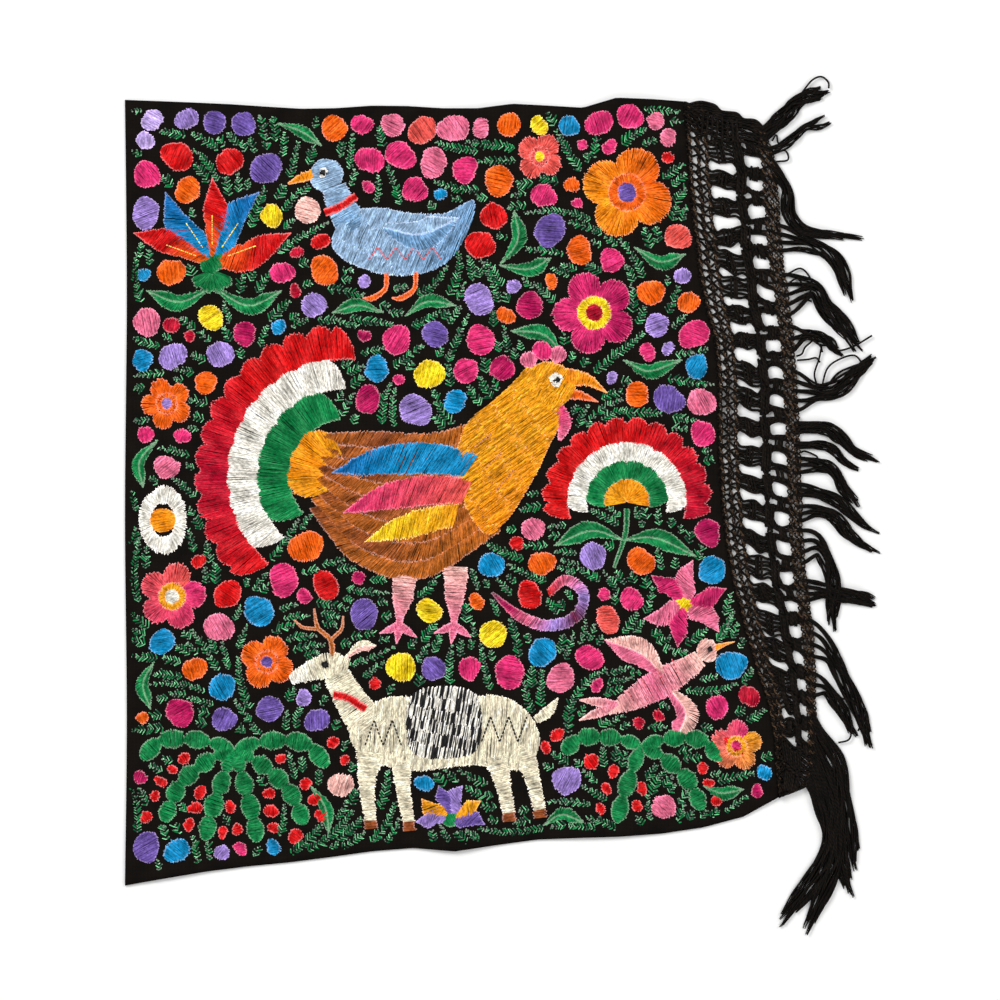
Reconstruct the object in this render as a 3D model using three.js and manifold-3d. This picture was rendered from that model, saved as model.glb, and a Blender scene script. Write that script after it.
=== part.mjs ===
// An embroidered cloth that lies flat on a table, with a knotted net band and a tassel fringe along
// its right-hand end. Millimetres, +Z up. The origin is on the table, under the middle of the cloth,
// +X runs towards the fringe and +Y towards the cloth's far long edge.
import * as THREE from "three";
import { mergeVertices } from "three/addons/utils/BufferGeometryUtils.js";
import Module from "manifold-3d";

const wasm = await Module();
wasm.setup();

// Driving dimensions.
const CLOTH_THICK = 2; // ground cloth and the thread that covers it
const CLOTH_CELLS = { along: 16, across: 32 };
const SEAM_GAP = 0.3; // between pieces that touch
const GROUPS = 25; // groups of thread along the net
const SHUT_GROUPS = { first: 1, last: 2 }; // groups at the net's ends whose gaps are drawn shut
const NET_THICK = 2;
const STRIP_THICK = 2.2;
const STRAND_WIDE = 1.75;
const STRAND_PITCH = 2.1;
const STRAND_HIGH = 1.6;
const STRAND_STEPS = 7;
const STRAND_ROOT = 0.955; // share of the net's width at which a strand starts

// Lines across the net, from the cloth's edge at 0 to the net's outer edge at 1. At each line the
// gap between two groups of thread and the gap in the middle of a group take these shares of a
// group, and the thread stands this much of its full thickness. The net goes on as an open one
// after a line where cut says which of the two gaps is cut through.
const NET_LINES = [
  { across: 0, between: 0.2, middle: 0.2, stands: 0.9 },
  { across: 0.11, between: 0.22, middle: 0.2, stands: 1 },
  { across: 0.22, between: 0.36, middle: 0.16, stands: 1, cut: "between" },
  { across: 0.32, between: 0.25, middle: 0.16, stands: 1.3, cut: "between" },
  { across: 0.42, between: 0.26, middle: 0.16, stands: 1.3, cut: "between" },
  { across: 0.52, between: 0.36, middle: 0.2, stands: 1.05 },
  { across: 0.61, between: 0.2, middle: 0.4, stands: 1.15, cut: "middle" },
  { across: 0.72, between: 0.14, middle: 0.46, stands: 1, cut: "middle" },
  { across: 0.83, between: 0.18, middle: 0.38, stands: 1 },
  { across: 0.865, between: 0.2, middle: 0.2, stands: 0.95 },
];
const STRIP_FROM = NET_LINES.at(-1).across;

// The cloth's four edges and the net's outer edge, each from its first corner to its last.
const EDGES = {
  top: [
    { x: -168, y: 209 },
    { x: -118, y: 207 },
    { x: -66, y: 204 },
    { x: -25, y: 206 },
    { x: 20, y: 204 },
    { x: 50, y: 207 },
    { x: 82, y: 204.5 },
    { x: 100, y: 210 },
    { x: 141, y: 208 },
  ],
  bottom: [
    { x: -168, y: -223 },
    { x: -118, y: -214.5 },
    { x: -71, y: -209.5 },
    { x: -16, y: -202.5 },
    { x: 16, y: -204 },
    { x: 55, y: -198 },
    { x: 115, y: -195.5 },
    { x: 150, y: -191 },
    { x: 175, y: -184 },
    { x: 192, y: -174 },
  ],
  left: [
    { x: -168, y: 209 },
    { x: -167, y: 100 },
    { x: -168, y: -20 },
    { x: -167, y: -130 },
    { x: -168, y: -223 },
  ],
  right: [
    { x: 141, y: 208 },
    { x: 143, y: 165 },
    { x: 150, y: 105 },
    { x: 158, y: 70 },
    { x: 159.5, y: 10 },
    { x: 165, y: -45 },
    { x: 178, y: -97 },
    { x: 188, y: -130 },
    { x: 192, y: -174 },
  ],
  net: [
    { x: 183, y: 193 },
    { x: 189, y: 172 },
    { x: 193, y: 123 },
    { x: 197.5, y: 82 },
    { x: 199.5, y: 26 },
    { x: 202, y: -38 },
    { x: 208, y: -88 },
    { x: 211, y: -125 },
    { x: 211, y: -152 },
    { x: 207, y: -168 },
  ],
};

// Soft ripples where the cloth stands a little off the table: the middle of each crest, the way it
// runs in degrees from +X, and its length, width and height.
const RIPPLES = [
  { x: 112, y: 190, runs: 92, long: 110, wide: 44, high: 4 },
  { x: 35, y: 198, runs: 84, long: 90, wide: 50, high: 2.2 },
  { x: -96, y: 196, runs: 96, long: 100, wide: 56, high: 2 },
  { x: -135, y: -200, runs: 70, long: 100, wide: 46, high: 2.2 },
  { x: 14, y: -196, runs: 96, long: 90, wide: 44, high: 2.6 },
  { x: 92, y: -190, runs: 110, long: 100, wide: 46, high: 2.2 },
  { x: 168, y: -140, runs: 128, long: 130, wide: 34, high: 4 },
  { x: 150, y: 40, runs: 158, long: 110, wide: 40, high: 2 },
  { x: -120, y: 60, runs: 12, long: 120, wide: 60, high: 1.8 },
];

// Tassels from the top of the strip down: the strands in each, the stretch of the strip that they
// come from, the places that the bunch runs through to its tip, and how far its strands part there.
const TASSELS = [
  { strands: 4, from: 192, to: 186, fan: 1, way: [[194, 201], [202, 209], [212, 213], [221, 216]] },
  { strands: 2, from: 181, to: 178, fan: 2.4, way: [[199, 186], [205, 193], [213, 197], [223, 201]] },
  { strands: 3, from: 170, to: 158, fan: 1.4, way: [[199, 152], [204, 143], [218, 137], [238, 134]] },
  { strands: 4, from: 140, to: 126, fan: 1.2, way: [[208, 130], [219, 124], [227, 112], [235, 92]] },
  { strands: 5, from: 112, to: 90, fan: 1.3, way: [[210, 105], [217, 95], [226, 84], [237, 69]] },
  { strands: 3, from: 84, to: 70, fan: 1, way: [[208, 79], [216, 74], [225, 68]] },
  { strands: 5, from: 60, to: 38, fan: 1.1, way: [[211, 49], [221, 50], [231, 57], [244, 67]] },
  { strands: 3, from: 31, to: 26, fan: 1.2, way: [[215, 29], [223, 24], [232, 17], [247, 9]] },
  { strands: 2, from: 20, to: 18, fan: 1, way: [[214, 19], [221, 16], [228, 10], [238, 4]] },
  { strands: 3, from: 12, to: 4, fan: 0.9, way: [[214, 7], [222, 3], [229, -6], [237, -15]] },
  { strands: 3, from: -2, to: -8, fan: 1.1, way: [[213, -7], [222, -12], [232, -20], [247, -31]] },
  { strands: 3, from: -15, to: -23, fan: 1.1, way: [[213, -17], [221, -21], [230, -30], [247, -42]] },
  { strands: 4, from: -28, to: -46, fan: 1.1, way: [[213, -38], [218, -50], [221, -65, 2], [223, -83]] },
  { strands: 4, from: -55, to: -66, fan: 1, way: [[213, -62], [224, -63], [235, -66], [247, -70]] },
  { strands: 4, from: -76, to: -96, fan: 0.9, way: [[218, -94], [227, -110], [236, -130], [244, -152]] },
  { strands: 3, from: -106, to: -118, fan: 0.9, way: [[218, -116], [226, -127], [234, -142]] },
  { strands: 4, from: -127, to: -139, fan: 1.1, way: [[217, -142], [226, -155], [231, -180], [234, -208]] },
  { strands: 3, from: -144, to: -152, fan: 1.3, way: [[216, -158], [223, -176], [225, -196], [231, -228]] },
  { strands: 4, from: -156, to: -165, fan: 2, way: [[214, -175], [217.5, -195], [210, -218], [199, -243]] },
];

const smooth = (t) => {
  const k = Math.min(Math.max(t, 0), 1);
  return k * k * (3 - 2 * k);
};
const mix = (a, b, t) => a + (b - a) * t;
const radians = THREE.MathUtils.degToRad;
// The same uneven number from -1 to 1 for the same count, so that copies differ a little.
const uneven = (n) => 2 * ((((Math.sin(n * 12.9898) * 43758.5453) % 1) + 1) % 1) - 1;

const curves = Object.fromEntries(
  Object.entries(EDGES).map(([name, points]) => [
    name,
    new THREE.SplineCurve(points.map((p) => new THREE.Vector2(p.x, p.y))),
  ]),
);

// How far the cloth stands off the table at a place.
function lift(x, y) {
  return RIPPLES.reduce((sum, r) => {
    const along = new THREE.Vector2(Math.cos(radians(r.runs)), Math.sin(radians(r.runs)));
    const from = new THREE.Vector2(x - r.x, y - r.y);
    const a = Math.abs(from.dot(along)) / (r.long / 2);
    const b = Math.abs(from.cross(along)) / (r.wide / 2);
    return a < 1 && b < 1 ? sum + r.high * smooth(1 - a) * smooth(1 - b) : sum;
  }, 0);
}

// A place on the cloth, from 0 to 1 towards the fringe and from 0 to 1 down from the top edge.
function onCloth(right, down) {
  const top = curves.top.getPointAt(right);
  const bottom = curves.bottom.getPointAt(right);
  const near = curves.left.getPointAt(down);
  const far = curves.right.getPointAt(down);
  const corner = (curve, end) => curves[curve].getPointAt(end);
  const across = top.clone().lerp(bottom, down);
  const along = near.clone().lerp(far, right);
  const ends = corner("top", 0).lerp(corner("bottom", 0), down);
  const others = corner("top", 1).lerp(corner("bottom", 1), down);
  return across.add(along).sub(ends.lerp(others, right));
}

// A place on the net, from 0 at the cloth's edge to 1 at the net's outer edge.
function onNet(right, down) {
  const inner = curves.right.getPointAt(down);
  inner.x += SEAM_GAP;
  return inner.lerp(curves.net.getPointAt(down), right);
}

// A box of cells whose points go where place puts them, from three numbers of -0.5 to 0.5.
function moulded(cells, place) {
  const box = new THREE.BoxGeometry(1, 1, 1, ...cells);
  const points = box.getAttribute("position");
  for (let i = 0; i < points.count; i++) {
    const at = place(points.getX(i), points.getY(i), points.getZ(i));
    points.setXYZ(i, at.x, at.y, at.z);
  }
  return box;
}

function solidOf(geometry) {
  const bare = geometry.clone();
  bare.deleteAttribute("normal");
  bare.deleteAttribute("uv");
  const merged = mergeVertices(bare, 1e-3);
  const vertProperties = merged.getAttribute("position").array;
  const triVerts = new Uint32Array(merged.index.array);
  return new wasm.Manifold(new wasm.Mesh({ numProp: 3, vertProperties, triVerts }));
}

function geometryOf(solid) {
  const mesh = solid.getMesh();
  return new THREE.BufferGeometry()
    .setAttribute("position", new THREE.BufferAttribute(mesh.vertProperties, 3))
    .setIndex(new THREE.BufferAttribute(mesh.triVerts, 1));
}

const joined = (pieces) => pieces.map(solidOf).reduce((whole, piece) => whole.add(piece));

// The ground cloth, one sheet with its turned hems.
function groundCloth() {
  const { along, across } = CLOTH_CELLS;
  return moulded([along, across, 1], (a, b, c) => {
    const at = onCloth(a + 0.5, 0.5 - b);
    return new THREE.Vector3(at.x, at.y, lift(at.x, at.y) + (c + 0.5) * CLOTH_THICK);
  });
}

// The knotted band: groups of thread that run across it, drawn together by knots, with a gap cut
// through between the groups in its first row and in the middle of each group in its second.
function knottedBand() {
  const rows = GROUPS * 4;
  const heights = [0.8, 1, 1, 0.8];
  const points = [];
  for (let row = 0; row <= rows; row++) {
    const group = Math.floor(row / 4);
    for (const line of NET_LINES) {
      const places = [line.between / 2, 0.5 - line.middle / 2, 0.5 + line.middle / 2, 1 - line.between / 2];
      const edge = row === 0 ? 0 : places[row % 4];
      const sway = 0.06 * uneven(group + 3 * line.across);
      const down = row === rows ? 1 : Math.min(Math.max((group + edge + (row ? sway : 0)) / GROUPS, 0), 1);
      const at = onNet(line.across, down);
      const rest = lift(at.x, at.y);
      points.push({ x: at.x, y: at.y, low: rest, high: rest + NET_THICK * line.stands * heights[row % 4] });
    }
  }
  // A row of cells after the first line of a group is its near strand, then its middle, then its far
  // strand, and the next is the gap between two groups.
  const kinds = ["strand", "middle", "strand", "between"];
  const solid = (row, column) => {
    if (row < 0 || row >= rows || column < 0 || column >= NET_LINES.length - 1) {
      return false;
    }
    const group = row / 4;
    const shut = group < SHUT_GROUPS.first || group > GROUPS - SHUT_GROUPS.last;
    return shut || row === 0 || NET_LINES[column].cut !== kinds[row % 4];
  };
  const triangles = [];
  const corner = (row, column, top) => 2 * (row * NET_LINES.length + column) + (top ? 1 : 0);
  const quad = (a, b, c, d) => triangles.push(a, b, c, a, c, d);
  for (let row = 0; row < rows; row++) {
    for (let column = 0; column < NET_LINES.length - 1; column++) {
      if (!solid(row, column)) {
        continue;
      }
      const ring = [[row, column], [row + 1, column], [row + 1, column + 1], [row, column + 1]];
      quad(...ring.map((at) => corner(...at, true)));
      quad(...ring.map((at) => corner(...at, false)).reverse());
      const beyond = [[row, column - 1], [row + 1, column], [row, column + 1], [row - 1, column]];
      beyond.forEach((next, side) => {
        if (!solid(...next)) {
          const [a, b] = [ring[side], ring[(side + 1) % 4]];
          quad(corner(...a, false), corner(...b, false), corner(...b, true), corner(...a, true));
        }
      });
    }
  }
  const places = points.flatMap((p) => [p.x, p.y, p.low, p.x, p.y, p.high]);
  return new THREE.BufferGeometry()
    .setAttribute("position", new THREE.Float32BufferAttribute(places, 3))
    .setIndex(triangles);
}

// The strip of twisted knots at the net's outer edge.
function knottedStrip() {
  return moulded([1, 2 * GROUPS, 1], (a, b, c) => {
    const down = 0.5 - b;
    const at = onNet(mix(STRIP_FROM, 1, a + 0.5), down);
    if (a < 0) {
      at.x += SEAM_GAP;
    }
    const knot = Math.abs(Math.cos(down * GROUPS * Math.PI));
    const top = STRIP_THICK * mix(0.75, 1, knot);
    return new THREE.Vector3(at.x, at.y, lift(at.x, at.y) + (c > 0 ? top : 0));
  });
}

// The share of the net's outer edge at which it passes a height on the page.
function shareAt(y) {
  let [above, below] = [0, 1];
  for (let i = 0; i < 16; i++) {
    const share = (above + below) / 2;
    [above, below] = curves.net.getPointAt(share).y > y ? [share, below] : [above, share];
  }
  return above;
}

// One strand of a tassel: it leaves the strip, closes up with the others and runs on to its tip.
function strand(row, index, order) {
  const side = 1 - (2 * index) / (row.strands - 1);
  const root = onNet(STRAND_ROOT, shareAt(mix(row.to, row.from, (side + 1) / 2)));
  const start = onNet(STRAND_ROOT, shareAt((row.from + row.to) / 2));
  const way = row.way.map(([x, y, z = 0]) => new THREE.Vector3(x, y, z));
  const middle = new THREE.CatmullRomCurve3([new THREE.Vector3(start.x, start.y, 0), ...way]);
  const half = ((row.strands - 1) / 2) * STRAND_PITCH;
  const reach = 1 - 0.08 * Math.abs(uneven(7 * order + index));
  return moulded([STRAND_STEPS, 1, 1], (a, b, c) => {
    const t = reach * (a + 0.5);
    const at = middle.getPointAt(t);
    const heading = middle.getTangentAt(t);
    const across = new THREE.Vector3(-heading.y, heading.x, 0).normalize();
    const gather = smooth(t / 0.35);
    const fan = mix(1, row.fan, smooth((t - 0.6) / 0.4));
    const wide = STRAND_WIDE * mix(mix(0.7, 1, gather), 0.6, smooth((t - 0.8) / 0.2));
    at.addScaledVector(across, half * side * gather * fan + b * wide * (c > 0 ? 0.5 : 1));
    at.x += (root.x - start.x) * (1 - gather);
    at.y += (root.y - start.y) * (1 - gather);
    at.z = Math.max(at.z, 0) + (c > 0 ? STRAND_HIGH * mix(1, 0.7, t) : 0);
    return at;
  });
}

// The tassel fringe: the strip with every strand fused to it at its root.
function tasselFringe() {
  const strands = TASSELS.flatMap((row, order) =>
    Array.from({ length: row.strands }, (_, index) => strand(row, index, order)),
  );
  return geometryOf(joined([knottedStrip(), ...strands]));
}

const cloth = new THREE.MeshStandardMaterial({ color: 0x15110f, roughness: 0.9, metalness: 0 });
const yarn = new THREE.MeshStandardMaterial({ color: 0x17120f, roughness: 0.8, metalness: 0 });

const part = new THREE.Group();
const pieces = [
  { name: "ground_cloth", geometry: groundCloth(), material: cloth },
  { name: "knotted_band", geometry: knottedBand(), material: yarn },
  { name: "tassel_fringe", geometry: tasselFringe(), material: yarn },
];
for (const piece of pieces) {
  const mesh = new THREE.Mesh(piece.geometry, piece.material);
  mesh.name = piece.name;
  part.add(mesh);
}

export default part;
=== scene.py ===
import math

import bpy
import numpy as np
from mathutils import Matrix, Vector
from mathutils.bvhtree import BVHTree


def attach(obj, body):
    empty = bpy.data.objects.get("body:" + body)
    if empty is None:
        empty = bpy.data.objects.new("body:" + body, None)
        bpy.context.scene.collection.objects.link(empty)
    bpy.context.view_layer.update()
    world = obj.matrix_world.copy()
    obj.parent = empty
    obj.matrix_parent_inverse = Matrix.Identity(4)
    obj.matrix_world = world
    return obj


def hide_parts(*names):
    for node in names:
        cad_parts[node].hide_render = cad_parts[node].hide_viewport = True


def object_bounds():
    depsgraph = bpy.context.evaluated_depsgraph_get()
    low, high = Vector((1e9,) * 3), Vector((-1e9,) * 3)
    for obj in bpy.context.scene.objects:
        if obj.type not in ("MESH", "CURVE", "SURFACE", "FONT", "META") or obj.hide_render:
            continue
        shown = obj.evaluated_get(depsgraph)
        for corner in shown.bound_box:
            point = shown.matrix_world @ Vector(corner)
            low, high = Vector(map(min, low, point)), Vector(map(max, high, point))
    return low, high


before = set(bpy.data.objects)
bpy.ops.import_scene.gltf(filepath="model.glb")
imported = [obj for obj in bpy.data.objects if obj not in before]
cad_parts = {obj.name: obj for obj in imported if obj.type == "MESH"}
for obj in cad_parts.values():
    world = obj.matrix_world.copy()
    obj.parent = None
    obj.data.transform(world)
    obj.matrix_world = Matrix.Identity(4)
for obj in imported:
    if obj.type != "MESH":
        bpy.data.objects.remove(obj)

cad_low, cad_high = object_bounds()
MM = 0.001

# The table that the cloth lies on, a pale matt top, and the camera straight above it. The photograph
# frames 550 mm of table, and its middle is a little towards the fringe from the cloth's middle.
TABLE_WIDE = 6.0
TABLE_GAP = 0.2
PHOTO_WIDE = 550.0
PHOTO_MIDDLE = (38.2, -11.0)
CAMERA_HIGH = 2600.0
SENSOR = 36.0


def plain_material(name, colour, roughness):
    """A material of one colour, with its node tree and its shader."""
    material = bpy.data.materials.new(name)
    material.use_nodes = True
    shader = material.node_tree.nodes["Principled BSDF"]
    shader.inputs["Base Color"].default_value = (*colour, 1)
    shader.inputs["Roughness"].default_value = roughness
    return material, material.node_tree, shader


bpy.ops.mesh.primitive_plane_add(size=TABLE_WIDE, location=(0, 0, -TABLE_GAP * MM))
table = bpy.context.object
table.name = "table_top"
table_finish, _, _ = plain_material("pale_table", (0.86, 0.86, 0.855), 0.75)
table.data.materials.append(table_finish)

lens = bpy.data.cameras.new("overhead")
lens.sensor_width = SENSOR
lens.lens = SENSOR * CAMERA_HIGH / PHOTO_WIDE
lens.clip_end = 20
camera = bpy.data.objects.new("overhead", lens)
camera.location = (PHOTO_MIDDLE[0] * MM, PHOTO_MIDDLE[1] * MM, CAMERA_HIGH * MM)
bpy.context.scene.collection.objects.link(camera)
bpy.context.scene.camera = camera

# Studio light: one large soft lamp from the far left, a smaller one from the right to catch the
# sheen of the thread, and an even pale surround.
LAMPS = [
    {"name": "key", "place": (-1.1, 1.0, 1.7), "size": 1.0, "power": 34},
    {"name": "fill", "place": (1.3, 0.5, 1.5), "size": 1.2, "power": 14},
    {"name": "front", "place": (0.2, -1.5, 1.4), "size": 1.2, "power": 12},
]
SURROUND_LIGHT = 0.38
for row in LAMPS:
    lamp = bpy.data.lights.new(row["name"], "AREA")
    lamp.size = row["size"]
    lamp.energy = row["power"]
    holder = bpy.data.objects.new(row["name"], lamp)
    holder.location = row["place"]
    holder.rotation_euler = Vector(row["place"]).to_track_quat("Z", "Y").to_euler()
    bpy.context.scene.collection.objects.link(holder)

surround = bpy.data.worlds.new("surround")
surround.use_nodes = True
backdrop = surround.node_tree.nodes["Background"]
backdrop.inputs["Color"].default_value = (1, 1, 1, 1)
backdrop.inputs["Strength"].default_value = SURROUND_LIGHT
bpy.context.scene.world = surround
bpy.context.scene.view_settings.view_transform = "Standard"

# The ground cloth: black cotton in plain weave, with its long edges and its left end turned to a
# narrow hem. It lies on the table in the low ripples of its solid.
CLOTH_WIDE, CLOTH_DEEP = 330.0, 405.0
CLOTH_THICK = 1.0
HEM = {"wide": 5.0, "rise": 0.4, "slope": 0.6, "round": 0.8}
FLAT_RIM = 3.0
HEIGHT_STEP = 3.0
HEIGHT_MARGIN = 9
HEIGHT_SPREADS = 4
CLOTH_MESH = {"along": 110, "across": 132}


def underside_heights(nodes, low, high):
    """How far the undersides of the nodes stand off the table, on a grid, spread past their edges."""
    trees = []
    for name in nodes:
        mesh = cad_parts[name].data
        points = [v.co for v in mesh.vertices]
        trees.append(BVHTree.FromPolygons(points, [p.vertices for p in mesh.polygons]))
    xs = np.arange(low[0], high[0], HEIGHT_STEP)
    ys = np.arange(low[1], high[1], HEIGHT_STEP)
    heights = np.zeros((len(ys), len(xs)))
    found = np.zeros_like(heights)
    for j, y in enumerate(ys):
        for i, x in enumerate(xs):
            for tree in trees:
                hit = tree.ray_cast(Vector((x * MM, y * MM, -0.01)), Vector((0, 0, 1)))[0]
                if hit is not None:
                    heights[j, i] = hit.z / MM
                    found[j, i] = 1
                    break
    heights *= found
    for _ in range(HEIGHT_SPREADS):
        heights = spread(heights)
        found = spread(found)
    return heights / np.maximum(found, 1e-3)


def spread(grid):
    """Each value of a grid as the mean of itself and its eight neighbours."""
    padded = np.pad(grid, 1, mode="edge")
    rows, columns = grid.shape
    shifts = [(r, c) for r in range(3) for c in range(3)]
    return sum(padded[r : r + rows, c : c + columns] for r, c in shifts) / len(shifts)


grid_low = np.array([cad_low.x, cad_low.y]) / MM - HEIGHT_MARGIN
grid_high = np.array([cad_high.x, cad_high.y]) / MM + HEIGHT_MARGIN
height_grid = underside_heights(["ground_cloth", "knotted_band"], grid_low, grid_high)


def rest_height(x, y):
    """How far the cloth stands off the table at places in mm, between the points of the grid."""
    column = np.clip((x - grid_low[0]) / HEIGHT_STEP, 0, height_grid.shape[1] - 1.001)
    row = np.clip((y - grid_low[1]) / HEIGHT_STEP, 0, height_grid.shape[0] - 1.001)
    i, j = column.astype(int), row.astype(int)
    a, b = column - i, row - j
    near = height_grid[j, i] * (1 - a) + height_grid[j, i + 1] * a
    far = height_grid[j + 1, i] * (1 - a) + height_grid[j + 1, i + 1] * a
    return near * (1 - b) + far * b


def cloth_sides():
    """The cloth's outline from its solid, in mm, as its top, right, bottom and left sides."""
    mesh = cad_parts["ground_cloth"].data
    upright = [p for p in mesh.polygons if abs(p.normal.z) < 0.3]
    corners = {i for face in upright for i in face.vertices}
    rim = {tuple(round(c / MM, 2) for c in mesh.vertices[i].co.xy) for i in corners}
    rim = np.array(sorted(rim, key=lambda at: -math.atan2(at[1], at[0])))
    leans = [(-1, 1), (1, 1), (1, -1), (-1, -1)]
    ends = [int(np.argmax(rim @ np.array(lean))) for lean in leans]
    rim = np.roll(rim, -ends[0], axis=0)
    ends = [(end - ends[0]) % len(rim) for end in ends] + [len(rim)]
    rim = np.vstack([rim, rim[:1]])
    return [rim[a : b + 1] for a, b in zip(ends, ends[1:])]


def along(line, count):
    """count + 1 places at even distances along a line of points."""
    reach = np.concatenate([[0], np.cumsum(np.linalg.norm(np.diff(line, axis=0), axis=1))])
    at = np.linspace(0, reach[-1], count + 1)
    return np.column_stack([np.interp(at, reach, line[:, k]) for k in range(line.shape[1])])


def cloth_places(columns, rows):
    """A grid of places over the whole cloth that follows its four sides."""
    top, right, bottom, left = cloth_sides()
    bottom, left = bottom[::-1], left[::-1]
    u = np.linspace(0, 1, columns + 1)[None, :, None]
    v = np.linspace(0, 1, rows + 1)[:, None, None]
    across = along(top, columns)[None] * (1 - v) + along(bottom, columns)[None] * v
    down = along(left, rows)[:, None] * (1 - u) + along(right, rows)[:, None] * u
    ends = (top[0] * (1 - u) + top[-1] * u) * (1 - v) + (bottom[0] * (1 - u) + bottom[-1] * u) * v
    return across + down - ends


def new_piece(name, points, quads, material):
    """A smooth mesh object from places in mm and faces of four corners."""
    mesh = bpy.data.meshes.new(name)
    mesh.vertices.add(len(points))
    mesh.vertices.foreach_set("co", (np.asarray(points, np.float32) * MM).ravel())
    mesh.loops.add(4 * len(quads))
    mesh.loops.foreach_set("vertex_index", np.asarray(quads, np.int32).ravel())
    mesh.polygons.add(len(quads))
    mesh.polygons.foreach_set("loop_start", np.arange(0, 4 * len(quads), 4, dtype=np.int32))
    mesh.update(calc_edges=True)
    mesh.shade_smooth()
    mesh.materials.append(material)
    piece = bpy.data.objects.new(name, mesh)
    bpy.context.scene.collection.objects.link(piece)
    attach(piece, "root")
    return piece


def sheet_faces(rows, columns):
    """Faces of a closed sheet, whose points are a grid on top and the same grid below."""
    index = np.arange((rows + 1) * (columns + 1)).reshape(rows + 1, columns + 1)
    top = np.stack([index[1:, :-1], index[1:, 1:], index[:-1, 1:], index[:-1, :-1]], axis=-1)
    top = top.reshape(-1, 4)
    below = index.size
    rim = np.concatenate([index[0, :-1], index[:-1, -1], index[-1, :0:-1], index[:0:-1, 0]])
    after = np.roll(rim, -1)
    edge = np.stack([rim, after, after + below, rim + below], axis=-1)
    return np.vstack([top, top[:, ::-1] + below, edge])


def add_node(tree, kind, values=(), feeds=(), **settings):
    """A shader node with its settings, the values on its sockets, and what feeds the others."""
    node = tree.nodes.new("ShaderNode" + kind)
    for setting, value in settings.items():
        setattr(node, setting, value)
    for socket, value in dict(values).items():
        node.inputs[socket].default_value = value
    for socket, source in dict(feeds).items():
        tree.links.new(source, node.inputs[socket])
    return node


def woven_material():
    """Black cotton in plain weave: warp and weft stand up in turn and are painted lighter where they stand
    up, and the dye is a little uneven.
    """
    material, tree, shader = plain_material("woven_cotton", (0.008, 0.007, 0.006), 0.95)
    shader.inputs["Specular IOR Level"].default_value = 0.05
    place = add_node(tree, "TexCoord").outputs["Object"]
    waves = []
    for turn in (0, math.pi / 2):
        turned = add_node(tree, "Mapping", {"Rotation": (0, 0, turn)}, {"Vector": place})
        ridges = {"Scale": 420, "Distortion": 0.6, "Detail Scale": 2}
        waves.append(add_node(tree, "TexWave", ridges, {"Vector": turned.outputs["Vector"]}))
    over_under = {0: waves[0].outputs["Fac"], 1: waves[1].outputs["Fac"]}
    weave = add_node(tree, "Math", feeds=over_under, operation="MAXIMUM").outputs["Value"]
    slub = add_node(tree, "TexNoise", {"Scale": 90, "Detail": 5}, {"Vector": place})
    both = add_node(tree, "Math", feeds={0: weave, 1: slub.outputs["Fac"]}, operation="MULTIPLY")
    # Painted light: the raised threads of the weave are painted lighter, times the uneven dye.
    blacks = {"Color1": (0.0025, 0.002, 0.0018, 1), "Color2": (0.013, 0.010, 0.008, 1)}
    dye = add_node(tree, "MixRGB", blacks, {"Fac": both.outputs["Value"]})
    bump = add_node(tree, "Bump", {"Strength": 0.5, "Distance": 0.0003}, {"Height": weave})
    tree.links.new(dye.outputs["Color"], shader.inputs["Base Color"])
    tree.links.new(bump.outputs["Normal"], shader.inputs["Normal"])
    return material


def pucker(x, y):
    """The small unevenness that the thread draws the ground into."""
    return 0.12 * np.sin(x / 4.1 + 1.7 * np.sin(y / 9.0)) * np.sin(y / 3.7 + 1.3 * np.sin(x / 11.0))


rows, columns = CLOTH_MESH["across"], CLOTH_MESH["along"]
flat_places = cloth_places(columns, rows).reshape(-1, 2)
u, v = np.meshgrid(np.linspace(0, 1, columns + 1), np.linspace(0, 1, rows + 1))
u, v = u.ravel(), v.ravel()
from_edge = np.minimum(np.minimum(v, 1 - v) * CLOTH_DEEP, u * CLOTH_WIDE)
hem = HEM["rise"] * np.clip((HEM["wide"] - from_edge) / HEM["slope"], 0, 1)
hem = hem * np.clip(from_edge / HEM["round"] + 0.3, 0, 1)
x, y = flat_places.T
rest = rest_height(x, y)
rim_ease = np.clip(np.minimum(from_edge, (1 - u) * CLOTH_WIDE) / FLAT_RIM, 0, 1)
top = np.column_stack([x, y, rest + CLOTH_THICK + hem + pucker(x, y) * rim_ease])
under = np.column_stack([x, y, rest])
cloth = new_piece(
    "embroidered_ground",
    np.vstack([top, under]),
    sheet_faces(rows, columns),
    woven_material(),
)
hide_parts("ground_cloth")

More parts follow.
